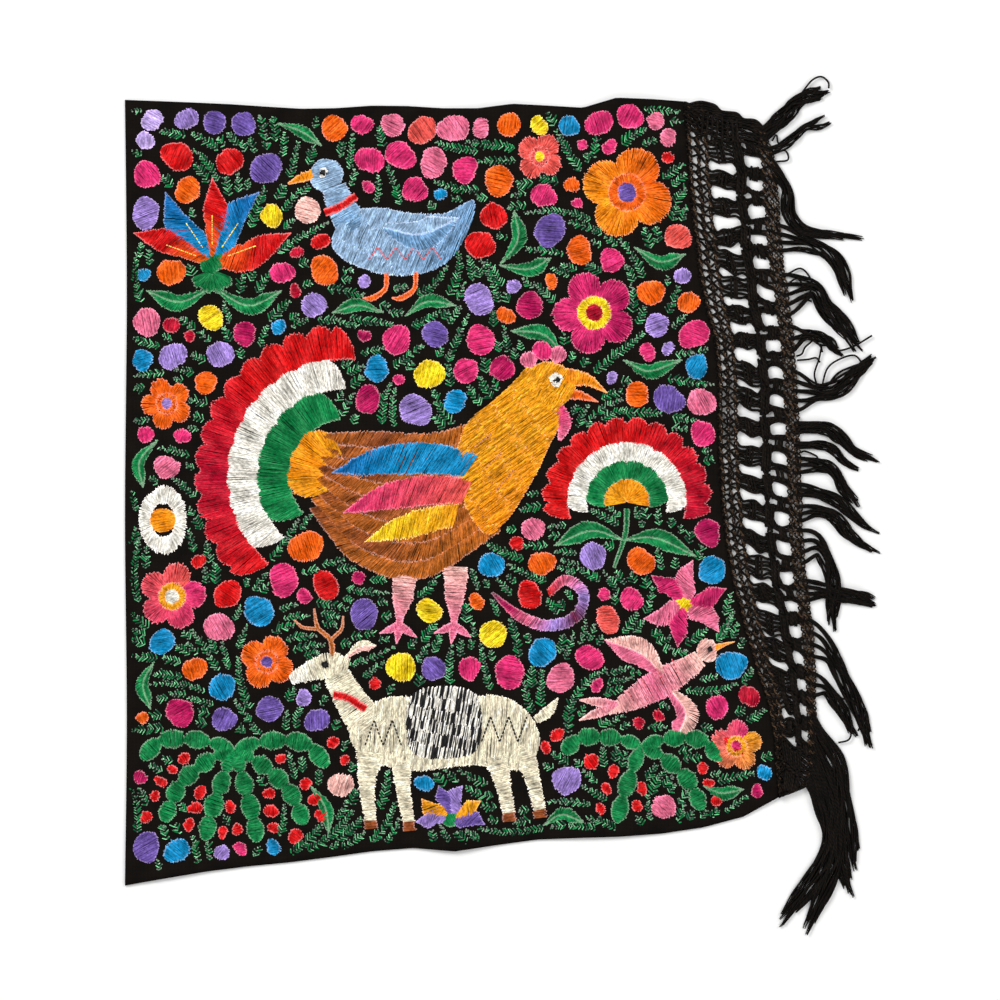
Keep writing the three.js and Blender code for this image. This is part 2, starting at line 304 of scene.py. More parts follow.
# The embroidery thread and its stitches: stranded cotton in bright colours, laid in satin stitch from
# one edge of a shape to the other, each stitch a raised thread of its own. A shape is filled with one
# row of stitches, or with several rows where it is too wide for one.
THREAD = 0.64
THREAD_RISE = 0.34
THREAD_TUCK = 0.34
ROW_PITCH = THREAD * 0.82
PATCH_PITCH = THREAD * 0.8
FAN_PITCH = THREAD * 0.84
DYES = {
    "red": (0.57, 0.002, 0.003),
    "crimson": (0.43, 0.001, 0.022),
    "coral": (0.71, 0.08, 0.065),
    "hot_pink": (0.63, 0.022, 0.14),
    "magenta": (0.42, 0.004, 0.085),
    "pink": (0.71, 0.14, 0.25),
    "soft_pink": (0.80, 0.42, 0.37),
    "orange": (0.80, 0.105, 0.001),
    "amber": (0.86, 0.25, 0.002),
    "gold": (0.78, 0.30, 0.004),
    "yellow": (0.86, 0.58, 0.008),
    "green": (0.001, 0.15, 0.038),
    "leaf": (0.002, 0.21, 0.055),
    "bottle": (0.002, 0.075, 0.028),
    "fresh": (0.13, 0.50, 0.22),
    "azure": (0.001, 0.225, 0.47),
    "blue": (0.001, 0.11, 0.36),
    "sky": (0.15, 0.30, 0.50),
    "pale_blue": (0.28, 0.42, 0.60),
    "lilac": (0.29, 0.19, 0.52),
    "purple": (0.13, 0.075, 0.32),
    "pale_lilac": (0.45, 0.33, 0.67),
    "white": (0.79, 0.75, 0.665),
    "cream": (0.76, 0.68, 0.50),
    "rust": (0.40, 0.105, 0.010),
    "brown": (0.25, 0.058, 0.012),
    "black": (0.012, 0.011, 0.012),
    "plum": (0.14, 0.010, 0.045),
}
chance = np.random.default_rng(11)


def curve_through(points, step=0.35, closed=False):
    """A smooth line through given points, with all their columns, at even distances."""
    knots = np.asarray(points, float)
    if closed:
        knots = np.vstack([knots[-1:], knots, knots[:2]])
    else:
        knots = np.vstack([2 * knots[0] - knots[1], knots, 2 * knots[-1] - knots[-2]])
    t = np.linspace(0, 1, 24, endpoint=False)[:, None]
    parts = []
    for a, b, c, d in zip(knots, knots[1:], knots[2:], knots[3:]):
        curve = 2 * b + (c - a) * t
        curve = curve + (2 * a - 5 * b + 4 * c - d) * t**2
        curve = curve + (3 * b - a - 3 * c + d) * t**3
        parts.append(0.5 * curve)
    line = np.vstack([*parts, knots[-2:-1]])
    reach = np.concatenate([[0], np.cumsum(np.linalg.norm(np.diff(line[:, :2], axis=0), axis=1))])
    at = np.arange(0, reach[-1] + step / 2, step)
    return np.column_stack([np.interp(at, reach, line[:, k]) for k in range(line.shape[1])])


def even_line(points, count):
    """count + 1 places at even distances along a smooth line through given points."""
    return along(curve_through([(*p, 0) for p in points])[:, :2], count)


def heading(turn):
    """The way that an angle in degrees points, and the way to its left."""
    a = math.radians(turn)
    return np.array([math.cos(a), math.sin(a)]), np.array([-math.sin(a), math.cos(a)])


def ways(line):
    """The direction along a line and to its left, at each of its points."""
    ahead = np.gradient(line[:, :2], axis=0)
    ahead /= np.maximum(np.linalg.norm(ahead, axis=1, keepdims=True), 1e-9)
    return ahead, np.column_stack([-ahead[:, 1], ahead[:, 0]])


def dyed(dye, count, mottle_and_glints=0.10):
    """Colours of stitches: one dye, or a run of dyes from the first stitch to the last."""
    names = [dye] if isinstance(dye, str) else list(dye)
    run = np.array([DYES[name] for name in names])
    at = np.linspace(0, len(names) - 1, count)
    colours = np.column_stack([np.interp(at, range(len(names)), run[:, k]) for k in range(3)])
    drift = 0.5 * mottle_and_glints * np.sin(np.linspace(0, count / 9, count) + chance.uniform(0, 6))
    uneven = np.clip(chance.normal(0, mottle_and_glints, (count, 1)), -mottle_and_glints, 3 * mottle_and_glints)
    return colours * (1 + uneven + drift[:, None])


def stitches(starts, ends, colours, pad=0.5, thick=THREAD):
    """Stitches as rows: start, end, width, how far the middle is padded up, and colour."""
    count = len(starts)
    sizes = np.column_stack([np.broadcast_to(thick, count), np.broadcast_to(pad, count)])
    return np.column_stack([starts, ends, sizes, colours])


def satin(points, dye, slant=0.0, scallop=None, pad=0.55, mottle_and_glints=0.10):
    """One row of satin stitch across a band. points are x, y and half the band's width there. A
    scallop is its length, its depth, and the side of the band that it is on, or both."""
    line = curve_through(points, ROW_PITCH)
    ahead, left = ways(line)
    count = len(line)
    half = np.maximum(line[:, 2:3], 0.25)
    reach = {"left": half.copy(), "right": half.copy()}
    if scallop:
        size, depth, side = scallop
        waves = max(round(count * ROW_PITCH / size), 1)
        wave = np.abs(np.sin(np.linspace(0, np.pi * waves, count)))[:, None]
        for edge in ("left", "right") if side == "both" else (side,):
            reach[edge] += depth * (wave**0.6 - 0.5)
    lean = ahead * half * slant
    rough = chance.normal(0, 0.35, (4, count, 1)) * np.minimum(half / 4, 1)
    start = line[:, :2] + left * (reach["left"] + rough[0]) + lean + ahead * rough[1] * 0.4
    end = line[:, :2] - left * (reach["right"] + rough[2]) - lean + ahead * rough[3] * 0.4
    return stitches(start, end, dyed(dye, count, mottle_and_glints), pad * np.clip(half[:, 0] / 4, 0.25, 1.2))


def fan(middle, inner, outer, turns, dye, scallop=None, pad=0.6, squash=(1, 1), eased=False):
    """Stitches that spread from a middle between two radii, from one angle in degrees to another.
    A scallop is its length along the outer radius and its depth. Eased ends are rounded off."""
    first, last = np.radians(turns)
    count = max(int(abs(last - first) * (0.15 * inner + 0.85 * outer) / FAN_PITCH), 4)
    angle = np.linspace(first, last, count)
    out = np.full(count, float(outer))
    if scallop:
        waves = max(round(abs(last - first) * outer / scallop[0]), 1)
        out += scallop[1] * (np.abs(np.sin(np.linspace(0, np.pi * waves, count))) ** 0.6 - 0.5)
    if eased:
        from_end = np.minimum(np.arange(count), np.arange(count)[::-1]) * FAN_PITCH / (outer - inner)
        out = inner + (out - inner) * np.clip(from_end * 1.6, 0.02, 1) ** 0.5
    angle_end = angle + chance.normal(0, 0.25, count) * FAN_PITCH / outer
    ray = np.column_stack([np.cos(angle), np.sin(angle)]) * squash
    ray_end = np.column_stack([np.cos(angle_end), np.sin(angle_end)]) * squash
    start = np.asarray(middle) + ray * (inner + chance.normal(0, 0.35, count))[:, None]
    end = np.asarray(middle) + ray_end * (out + chance.normal(0, 0.4, count))[:, None]
    return stitches(start, end, dyed(dye, count, 0.14), pad)


def patch(outline, dye, angle, row, mottle_and_glints=0.12):
    """A shape inside a smooth closed outline, filled with stitches at one angle in degrees, in rows
    of a set length that meet in broken lines."""
    ring = curve_through(outline, 0.8, closed=True)
    along_way, up_way = heading(angle)
    a, b = ring @ along_way, ring @ up_way
    a_next, b_next = np.roll(a, -1), np.roll(b, -1)
    starts, ends, at = [], [], []
    levels = np.arange(b.min() + PATCH_PITCH / 2, b.max(), PATCH_PITCH)
    for level in levels:
        hit = (b <= level) != (b_next <= level)
        share = (level - b[hit]) / (b_next[hit] - b[hit])
        crossings = np.sort(a[hit] + share * (a_next[hit] - a[hit]))
        for left, right in zip(crossings[::2], crossings[1::2]):
            breaks = np.arange(math.ceil((left + 3) / row) * row, right - 3, row)
            breaks = breaks + chance.normal(0, row * 0.13, len(breaks))
            firsts = [left + chance.normal(0, 0.3), *(breaks - 0.5)]
            lasts = [*(breaks + 0.5), right + chance.normal(0, 0.3)]
            for p, q in zip(firsts, lasts):
                tilt = chance.normal(0, 0.11, 2)
                starts.append(along_way * p + up_way * (level + tilt[0]))
                ends.append(along_way * q + up_way * (level + tilt[1]))
                at.append((level - levels[0]) / max(levels[-1] - levels[0], 1))
    uneven = np.clip(chance.normal(0, mottle_and_glints, (len(at), 1)), -mottle_and_glints, 3 * mottle_and_glints)
    colours = dyed(dye, 400, 0)[(np.array(at) * 399).astype(int)] * (1 + uneven)
    longs = np.linalg.norm(np.array(ends) - np.array(starts), axis=1)
    return stitches(np.array(starts), np.array(ends), colours, 0.55 * np.clip(longs / 8, 0.2, 1.1))


def spot(x, y, radius, dye, angle=None, stretch=1.08):
    """A round or slightly oval spot of satin stitch with an uneven rim."""
    along_way, up_way = heading(chance.uniform(0, 180) if angle is None else angle)
    count = max(int(2 * radius * stretch / FAN_PITCH), 4)
    level = (np.arange(count) + 0.5) / count * 2 - 1
    lobes = 1 + 0.07 * np.sin(3 * level + chance.uniform(0, 6))
    lobes = lobes + 0.03 * np.sin(7 * level + chance.uniform(0, 6))
    lobes += chance.uniform(-0.12, 0.12) * level
    half = radius * np.sqrt(1 - level**2) * lobes
    lean = radius * (chance.normal(0, 0.1) * level + chance.normal(0, 0.08) * level**2)
    middle = np.array([x, y]) + up_way * (level * radius * stretch)[:, None]
    middle = middle + along_way * lean[:, None]
    rough = chance.normal(0, 0.3, (2, count, 1))
    start = middle - along_way * (half[:, None] + rough[0])
    end = middle + along_way * (half[:, None] + rough[1])
    pad = 0.75 * np.clip(half / radius, 0.3, 1) * min(radius / 6, 1.1)
    return stitches(start, end, dyed(dye, count, 0.16), pad)


def running(points, dye, length, thick=0.55):
    """A line of back stitch along a line, with stitches of one length."""
    line = curve_through([(*p[:2], 0) for p in points], length)[:, :2]
    step = line[1:] - line[:-1]
    gap = step * 0.08
    return stitches(line[:-1] + gap, line[1:] - gap, dyed(dye, len(step)), 0.1, thick)


# The painted highlight at the tips of the stitches: how strong it is, how it pales the dye, and the sheen
# it adds.
TIP_LIGHT = 0.95
TIP_PALER = (1.25, 1.25, 1.25)
TIP_SHEEN = (0.26, 0.22, 0.22)


def thread_material():
    """Stranded cotton: its own dye on each stitch with the painted sheen and shade that sew puts in it, a
    fine twist along it in bumps and painted light and shade, and short painted glints. Each stitch is
    painted paler near its tips, where it bends down into the cloth and catches the light."""
    material, tree, shader = plain_material("stranded_cotton", (0.6, 0.1, 0.2), 0.4)
    shader.inputs["Specular IOR Level"].default_value = 0.07
    # The dye attribute brings the dye with the painted sheen and shade of each stitch.
    dye = add_node(tree, "Attribute", attribute_name="dye")
    lay = add_node(tree, "UVMap", uv_map="lay").outputs["UV"]
    twist = {"Scale": 1.1, "Distortion": 1.2, "Detail": 2}
    strands = add_node(tree, "TexWave", twist, {"Vector": lay}, bands_direction="DIAGONAL").outputs["Fac"]
    shade = add_node(tree, "MapRange", {"To Min": 0.72, "To Max": 1.12}, {"Value": strands})
    # The noise of the painted glints along each stitch.
    mottle_and_glints = {"Scale": 0.46, "Detail": 1.5}
    glint = add_node(tree, "TexNoise", mottle_and_glints, {"Vector": lay}, noise_dimensions="2D")
    painted_glint_range = {"From Min": 0.32, "From Max": 0.68, "To Min": 0.66, "To Max": 1.36}
    painted_glint = add_node(tree, "MapRange", painted_glint_range, {"Value": glint.outputs["Fac"]})
    lights = {0: shade.outputs["Result"], 1: painted_glint.outputs["Result"]}
    light = add_node(tree, "Math", feeds=lights, operation="MULTIPLY")
    lit_dye = {"Vector": dye.outputs["Color"], "Scale": light.outputs["Value"]}
    tint_with_painted_light = add_node(tree, "VectorMath", feeds=lit_dye, operation="SCALE").outputs["Vector"]
    tip_range = {"From Min": 0.65, "From Max": 1.15, "To Min": TIP_LIGHT, "To Max": 0}
    tip = add_node(tree, "MapRange", tip_range, {"Value": dye.outputs["Alpha"]})
    paler = {1: TIP_PALER, 2: TIP_SHEEN}
    pale = add_node(tree, "VectorMath", paler, {0: tint_with_painted_light}, operation="MULTIPLY_ADD")
    ends = {"Fac": tip.outputs["Result"], "Color1": tint_with_painted_light, "Color2": pale.outputs["Vector"]}
    lit = add_node(tree, "MixRGB", feeds=ends)
    bump = add_node(tree, "Bump", {"Strength": 0.35, "Distance": 0.0001}, {"Height": strands})
    tree.links.new(lit.outputs["Color"], shader.inputs["Base Color"])
    tree.links.new(bump.outputs["Normal"], shader.inputs["Normal"])
    return material


thread_finish = thread_material()

# Five steps along a stitch: its rise, its width and its painted sheen, which is paler at the tips. Four
# points across it: their places, how far each stands up, and their painted shade, darker on the flanks.
STITCH_RISE = np.array([-0.35, 0.8, 1.0, 0.8, -0.35])
STITCH_WIDTHS = np.array([0.8, 1.2, 1.22, 1.2, 0.8])
STITCH_PAINTED_SHEEN = np.array([0.3, 0.12, -0.06, 0.10, 0.3])
STITCH_ACROSS = np.array([-0.5, -0.26, 0.26, 0.5])
STITCH_ROUND = np.array([0.0, 1.0, 1.0, 0.0])
STITCH_PAINTED_SHADE = np.array([0.62, 1.06, 1.06, 0.62])
STITCH_BOW = 0.012
STITCH_BEND = 0.8
TIP_STRAY = (-0.1, 0.35)
# Thread darker than this has no painted pale tips, so all of it counts as far from a tip.
DARKEST_TIPS = 0.05
FAR_FROM_TIP = 20
# How far the twist and the glints shift from one stitch to the next.
LAY_SHIFT = {"along": 0.37, "across": 1.3}
sewn = []


def colour_and_lay(mesh, colours, lay):
    """Gives each point its colour, and its place along and across the thread, for the material."""
    # The dye attribute holds the colour with its painted light, and in alpha the distance from a tip.
    dye = mesh.attributes.new("dye", "FLOAT_COLOR", "POINT")
    dye.data.foreach_set("color", colours.astype(np.float32).ravel())
    layer = mesh.uv_layers.new(name="lay")
    corners = np.zeros(len(mesh.loops), np.int32)
    mesh.loops.foreach_get("vertex_index", corners)
    layer.data.foreach_set("uv", lay[corners].astype(np.float32).ravel())


def sew(name, *groups, over=0.0, light=False):
    """All the stitches of one motif as one mesh, laid on the ground cloth where it lies. Light ones,
    which are short and thin, have fewer steps along them."""
    threads = np.vstack(groups)
    sewn.append(threads)
    start, end, colours = threads[:, :2], threads[:, 2:4], threads[:, 6:9]
    wide, pad = threads[:, 4], threads[:, 5]
    pick = [0, 2, 4] if light else [0, 1, 2, 3, 4]
    count, rings, sides = len(threads), len(pick), len(STITCH_ACROSS)
    way = end - start
    long = np.maximum(np.linalg.norm(way, axis=1), 0.2)
    ahead = way / long[:, None]
    left = np.column_stack([-ahead[:, 1], ahead[:, 0]])
    bow = chance.normal(0, STITCH_BOW, count) * long
    tuck = np.clip(STITCH_BEND / long, 0.06, 0.3)[:, None]
    t = np.column_stack([np.zeros(count), tuck, np.full(count, 0.5), 1 - tuck, np.ones(count)])[:, pick]
    bend = bow[:, None] * 4 * t * (1 - t)
    middle = start[:, None] + way[:, None] * t[..., None] + left[:, None] * bend[..., None]
    offset = (wide[:, None] * STITCH_WIDTHS[pick])[..., None] * STITCH_ACROSS
    places = middle[:, :, None] + left[:, None, None] * offset[..., None]
    rise = THREAD_RISE * (wide / THREAD)[:, None] * STITCH_RISE[pick]
    rise = rise * chance.uniform(0.85, 1.15, (count, 1))
    crown = pad[:, None] * 4 * t * (1 - t)
    x, y = places[..., 0], places[..., 1]
    ground = rest_height(x, y) + CLOTH_THICK + pucker(x, y) + over
    z = ground + crown[..., None] + rise[..., None] - THREAD_TUCK * (1 - STITCH_ROUND)
    points = np.concatenate([places, z[..., None]], axis=-1).reshape(-1, 3)
    index = np.arange(count * rings * sides).reshape(count, rings, sides)
    quads = [index[:, :-1, 1:], index[:, :-1, :-1], index[:, 1:, :-1], index[:, 1:, 1:]]
    quads = np.stack(quads, axis=-1).reshape(-1, 4)[:, ::-1]
    piece = new_piece(name, points, quads, thread_finish)
    # Painted light in the colours: sheen along each stitch and in slow waves, shade on its flanks.
    painted_sheen = STITCH_PAINTED_SHEEN[pick] * chance.uniform(0.3, 1.25, (count, 1))
    painted_sheen = painted_sheen + chance.normal(0, 0.16, (count, rings))
    drift = np.arange(count)[:, None] / 5.3 + 1.9 * np.array(pick) + chance.uniform(0, 6)
    painted_sheen += 0.28 * np.sin(drift)
    shades = colours[:, None] * (1 + painted_sheen[..., None]) + 0.05 * np.clip(painted_sheen[..., None], 0, 2)
    shades = np.repeat(shades[:, :, None], sides, axis=2) * STITCH_PAINTED_SHADE[:, None]
    shades = np.clip(shades.reshape(-1, 3), 0, 1)
    from_tip = np.minimum(t, 1 - t) * long[:, None] + chance.uniform(*TIP_STRAY, (count, 1))
    from_tip[colours.max(axis=1) < DARKEST_TIPS] = FAR_FROM_TIP
    from_tip = np.repeat(np.clip(from_tip, 0, FAR_FROM_TIP), sides, axis=1).ravel()
    number = np.arange(count)[:, None, None]
    u = np.broadcast_to((t * long[:, None])[..., None] + number * LAY_SHIFT["along"], x.shape).ravel()
    v = (number * LAY_SHIFT["across"] + np.broadcast_to(STITCH_ACROSS, x.shape)).ravel()
    colour_and_lay(piece.data, np.column_stack([shades, from_tip]), np.column_stack([u, v]))
    return piece


# The largest figure is a cock with a fan of a tail: bands of gold, green, white and red with a
# scalloped edge, a ribbed brown body, and a gold head and neck. Each part has its own run of satin.
TAIL_ROOT = (-46.0, 2.0)
TAIL_BANDS = [
    {"radii": (64, 82), "dye": ["red", "red", "crimson", "red"], "scallop": (15, 4.6), "turns": (86, 228)},
    {"radii": (48, 66), "dye": "white", "scallop": (14, 3.4), "turns": (91, 224)},
    {"radii": (31, 50), "dye": ["leaf", "green", "leaf"], "scallop": (13, 3.4), "turns": (97, 220)},
    {"radii": (12, 33), "dye": ["gold", "amber", "gold"], "scallop": (12, 2.8), "turns": (104, 216)},
]


def ribs(back, belly, count, dyes):
    """Rows of satin stitch side by side that fill the space between two curves."""
    upper, lower = even_line(back, 8), even_line(belly, 8)
    worked = []
    for i in range(count):
        middle = upper + (lower - upper) * (i + 0.5) / count
        half = np.linalg.norm(lower - upper, axis=1) / (2 * count) + 0.1
        dye = dyes[i % len(dyes)]
        worked.append(satin(np.column_stack([middle, half]), dye, slant=0.5, pad=0.9, mottle_and_glints=0.22))
    return np.vstack(worked)


tail = []
for band in TAIL_BANDS:
    shape = {"scallop": band["scallop"], "pad": 1.0, "eased": True}
    tail.append(fan(TAIL_ROOT, *band["radii"], band["turns"], band["dye"], **shape))
sew("cock_tail", *tail)

body = ribs(
    [(-58, 26), (-30, 27), (2, 26), (34, 36)],
    [(-64, -18), (-40, -46), (-4, -54), (38, -28)],
    8,
    [["rust", "brown", "rust", "rust"], ["brown", "rust", "rust", "rust"]],
)
sew("cock_body", body)

neck = [(56, 62), (46, 54), (34, 43), (20, 31), (14, 12), (18, -12)]
neck += [(30, -30), (42, -22), (54, -4), (64, 16), (73, 40)]
neck = patch(neck, ["amber", "gold", "gold"], 36, row=13, mottle_and_glints=0.2)
head = patch([(52, 46), (53, 58), (62, 65), (74, 62), (80, 53), (75, 43), (63, 39)], "gold", 60, row=15)
beak = satin([(75, 56, 5.6), (86, 55, 3.4), (97, 48, 0.4)], "amber")
lower_beak = satin([(75, 48, 3.4), (84, 46, 2.2), (92, 43, 0.4)], "orange")
comb = [spot(54, 66, 4.4, "pink", 100), spot(61.5, 71, 5.2, "hot_pink", 90), spot(70, 69, 4.4, "pink", 70)]
wattle = satin([(71, 40, 2.6), (73.5, 31, 4.2), (71, 22, 1)], ["hot_pink", "pink"])
sew("cock_head", neck, head, beak, lower_beak, *comb, wattle, over=0.8)

lace = [running([(24 + 6 * i, 18 - 12 * i), (34 + 6 * i, 26 - 10 * i)], "rust", 2.6) for i in range(3)]
sew("cock_eye", spot(69, 55, 3.6, "white", 0), *lace, over=1.6)

wing = [
    satin([(22, 8, 7), (-6, 12, 9), (-32, 10, 7), (-54, 4, 0.4)], ["azure", "azure", "blue"], slant=0.5),
    satin([(20, -6, 7), (-6, -6, 8.5), (-28, -10, 6.5), (-48, -18, 0.4)], ["coral", "hot_pink"], slant=0.5),
    satin([(14, -19, 6), (-4, -23, 7.2), (-20, -27, 5.5), (-36, -34, 0.4)], ["gold", "yellow"], slant=0.5),
]
sew("cock_wing", *wing, over=1.1)

legs = []
for hip, ankle in (((-14, -52), (-17, -80)), ((14, -48), (13, -80))):
    middle = [(hip[0] + ankle[0]) / 2, (hip[1] + ankle[1]) / 2]
    shin = [(*hip, 7), (*middle, 5.5), (ankle[0], ankle[1] + 4, 2.4), (*ankle, 2.2)]
    legs.append(satin(shin, ["soft_pink", "pink"]))
    for toe in (205, 262, 320):
        reach = (ankle[0] + 12 * math.cos(math.radians(toe)), ankle[1] + 10 * math.sin(math.radians(toe)))
        between = ((ankle[0] + reach[0]) / 2, (ankle[1] + reach[1]) / 2)
        legs.append(satin([(*ankle, 2.3), (*between, 2.2), (*reach, 0.5)], "pink"))
sew("cock_legs", *legs)

# The palmette to the right of the cock: a half flower of the same four bands, each a fan of satin
# stitch, on a stem with two leaves.
PALMETTE = (108.0, -12.0)


def leaf(points, dyes, lean=0.9):
    """A leaf along a spine, stitched from the spine out to each edge. points are x, y and half width,
    and dyes is one dye for each side."""
    line = curve_through(points, THREAD * 0.95)
    ahead, left = ways(line)
    halves = []
    for side, dye in zip((1, -1), dyes):
        half = np.maximum(line[:, 2:3], 0.2)
        rough = chance.normal(0, 0.25, (len(line), 1))
        tip = line[:, :2] + side * left * (half + rough) + ahead * half * lean
        spine = line[:, :2] - side * left * 0.15
        halves.append(stitches(spine, tip, dyed(dye, len(line)), 0.25))
    return np.vstack(halves)


palmette = [
    fan(PALMETTE, 32, 45, (-16, 196), ["crimson", "red", "red"], (12, 4.0), pad=0.9, eased=True),
    fan(PALMETTE, 22, 33, (-14, 194), "white", (11, 2.4), pad=0.8, eased=True),
    fan(PALMETTE, 12, 23, (-12, 192), ["green", "leaf"], (10, 2.0), pad=0.8, eased=True),
    fan(PALMETTE, 0.5, 13, (-10, 190), ["amber", "gold"], pad=0.8),
]
stem = satin([(108, -16, 1.8), (107, -30, 1.7), (101, -48, 1.2)], "green")
stem_leaves = [
    leaf([(106, -33, 0.4), (88, -28, 5.5), (68, -36, 0.3)], ("leaf", "green")),
    leaf([(106, -33, 0.4), (124, -32, 5.5), (146, -42, 0.3)], ("green", "leaf")),
]
sew("palmette", *palmette, stem, *stem_leaves)

# Flowers: a red and blue lily, round flowers with lobed petals, and open ones with pointed petals.
# The petals are stitched outwards, so that the thread ends make their jagged rims.


def flower(x, y, radius, lobes, outer, inner, heart, turn):
    """A round flower: a ring of lobed petals, an inner ring, and a spot for its heart."""
    lobe = 2 * math.pi * radius / lobes
    round_turn = (turn, turn + 360)
    petals = fan((x, y), radius * 0.42, radius * 0.9, round_turn, outer, (lobe, radius * 0.42))
    ring = fan((x, y), radius * 0.2, radius * 0.46, round_turn, inner)
    return [petals, ring, spot(x, y, radius * 0.25, heart, 20)]


def star(x, y, length, turns, dyes, heart, wide):
    """An open flower of long pointed petals, each one a run of satin stitch."""
    petals = []
    for k, turn in enumerate(turns):
        a = math.radians(turn)
        bend = math.radians(turn + (9 if k % 2 else -9))
        points = [
            (x + 3 * math.cos(a), y + 3 * math.sin(a), wide * 0.45),
            (x + 0.5 * length * math.cos(bend), y + 0.5 * length * math.sin(bend), wide),
            (x + length * math.cos(a), y + length * math.sin(a), 0.4),
        ]
        petals.append(satin(points, dyes[k % len(dyes)], slant=0.55))
    return [*petals, spot(x, y, wide * 0.8, heart)]


LILY = (-120.0, 120.0)
LILY_TURNS = (160, 124, 90, 56, 20)
lily = star(*LILY, 46, LILY_TURNS, [["orange", "red", "red"], ["azure", "blue"]], "green", 8.5)
veins = []
for turn in LILY_TURNS:
    way, _ = heading(turn)
    veins.append(running([np.array(LILY) + way * 9, np.array(LILY) + way * 27], "yellow", 2.4))
calyx = [
    fan((-120, 115), 1, 12, (200, 340), "green", (7, 2)),
    leaf([(-120, 106, 0.4), (-138, 98, 5), (-156, 104, 0.3)], ("leaf", "green")),
    leaf([(-120, 106, 0.4), (-100, 96, 5), (-82, 104, 0.3)], ("green", "leaf")),
]
sew("lily", *lily, *calyx)
sew("lily_veins", *veins, over=0.8)

ORANGES = ("orange", "amber", "orange")
PINKS = ("magenta", "hot_pink", "magenta")
ROUND_FLOWERS = [
    {"at": (108, 158), "radius": 23, "lobes": 5, "dyes": (ORANGES, "orange", "purple")},
    {"at": (60, 178), "radius": 12, "lobes": 5, "dyes": ("coral", "coral", "yellow")},
    {"at": (90, 92), "radius": 21, "lobes": 6, "dyes": (PINKS, "yellow", "crimson")},
    {"at": (-145, 42), "radius": 13, "lobes": 5, "dyes": ("orange", "orange", "lilac")},
    {"at": (-142, -64), "radius": 17, "lobes": 6, "dyes": (["coral", "hot_pink"], "gold", "white")},
    {"at": (-90, -100), "radius": 14, "lobes": 5, "dyes": ("orange", "orange", "purple")},
    {"at": (168, -146), "radius": 13, "lobes": 5, "dyes": (["hot_pink", "gold"], "gold", "hot_pink")},
]
blooms = []
for row in ROUND_FLOWERS:
    blooms += flower(*row["at"], row["radius"], row["lobes"], *row["dyes"], turn=chance.uniform(0, 60))
sew("round_flowers", *blooms)

pointed = star(140, -68, 24, range(20, 380, 60), [["hot_pink", "magenta"], "pink"], "yellow", 6.0)
pointed += star(11, -186, 19, (186, 146, 110, 70, 30, -10), ["lilac", "gold", "purple"], "leaf", 5.6)
sew("pointed_flowers", *pointed)

# The pale blue duck above the cock, filled with slanting stitches in broken rows. A red collar, a
# folded wing and a zigzag of back stitch are worked over them.


def zigzag(left, right, low, high, dye):
    """A zigzag of back stitch in straight lines, over stitches that are already there."""
    xs = np.arange(left, right + 0.1, 5)
    ys = [high if k % 2 else low for k in range(len(xs))]
    places = list(zip(xs, ys))
    return [running([p, q], dye, 2.2, thick=0.7) for p, q in zip(places, places[1:])]


duck_body = [(-54, 128), (-40, 117), (-14, 112), (8, 119), (20, 136)]
duck_body += [(24, 154), (8, 147), (-10, 147), (-32, 150), (-48, 144)]
duck_body = patch(duck_body, ["sky", "pale_blue", "pale_blue"], 68, row=17, mottle_and_glints=0.2)
duck_neck = satin([(-42, 138, 10), (-49, 150, 8), (-53, 161, 7)], ["sky", "pale_blue"], mottle_and_glints=0.2)
duck_head = spot(-57, 167, 9, "pale_blue", 20)
duck_beak = satin([(-65, 168, 3), (-71, 166, 2.6), (-78, 163, 0.8)], "amber")
feet = []
for x in (-24, -8):
    feet.append(satin([(x, 114, 1.6), (x - 1, 105, 1.5), (x - 8, 100, 1.8), (x - 13, 100, 0.6)], "orange"))
sew("duck", duck_body, duck_neck, duck_head, duck_beak, *feet)
duck_wing = leaf([(-26, 139, 3), (-6, 135, 9), (16, 144, 0.4)], ("pale_blue", "sky"), lean=0.5)
chevrons = zigzag(-34, 6, 121, 128, "crimson")
collar = satin([(-58, 147, 2.2), (-50, 150, 2.4), (-41, 156, 2.2)], "red")
sew("duck_wing", duck_wing, *chevrons, collar, spot(-59, 169, 2.6, "white", 0), over=0.9)

# The cream deer under the cock, filled with long upright stitches. It carries a blanket of black and
# white thread, a red collar, and antlers in brown.
deer_body = [(-40, -130), (-22, -119), (8, -121), (36, -118), (53, -127), (60, -144)]
deer_body += [(50, -159), (22, -157), (-8, -160), (-32, -155), (-44, -143)]
deer_body = patch(deer_body, "cream", 86, row=19)
DEER_LEGS = [
    [(-33, -150, 8), (-35, -168, 4.6), (-33, -187, 3.6)],
    [(-16, -154, 6), (-15, -170, 4.2), (-12, -188, 3.4)],
    [(50, -146, 7.5), (56, -164, 4.4), (60, -181, 3.6)],
    [(36, -152, 7), (40, -168, 4.4), (43, -183, 3.6)],
]
deer_legs = [satin(points, "cream", mottle_and_glints=0.12) for points in DEER_LEGS]
hooves = []
for *_, foot in DEER_LEGS:
    hooves.append(satin([foot, (foot[0] + 0.4, foot[1] - 4.5, 3.9)], "brown"))
deer_neck = satin([(-32, -138, 12), (-44, -121, 9), (-52, -107, 7.5)], "cream", mottle_and_glints=0.12)
deer_head = [(-46, -104, 6), (-55, -102, 7.4), (-66, -105, 5.6), (-77, -110, 3)]
deer_head = satin(deer_head, ["cream", "cream", "white"])
deer_ear = leaf([(-47, -98, 0.8), (-39, -92, 3.2), (-30, -91, 0.3)], ("cream", "soft_pink"))
deer_tail = satin([(58, -132, 2.4), (65, -127, 3.2), (70, -120, 0.6)], "cream")
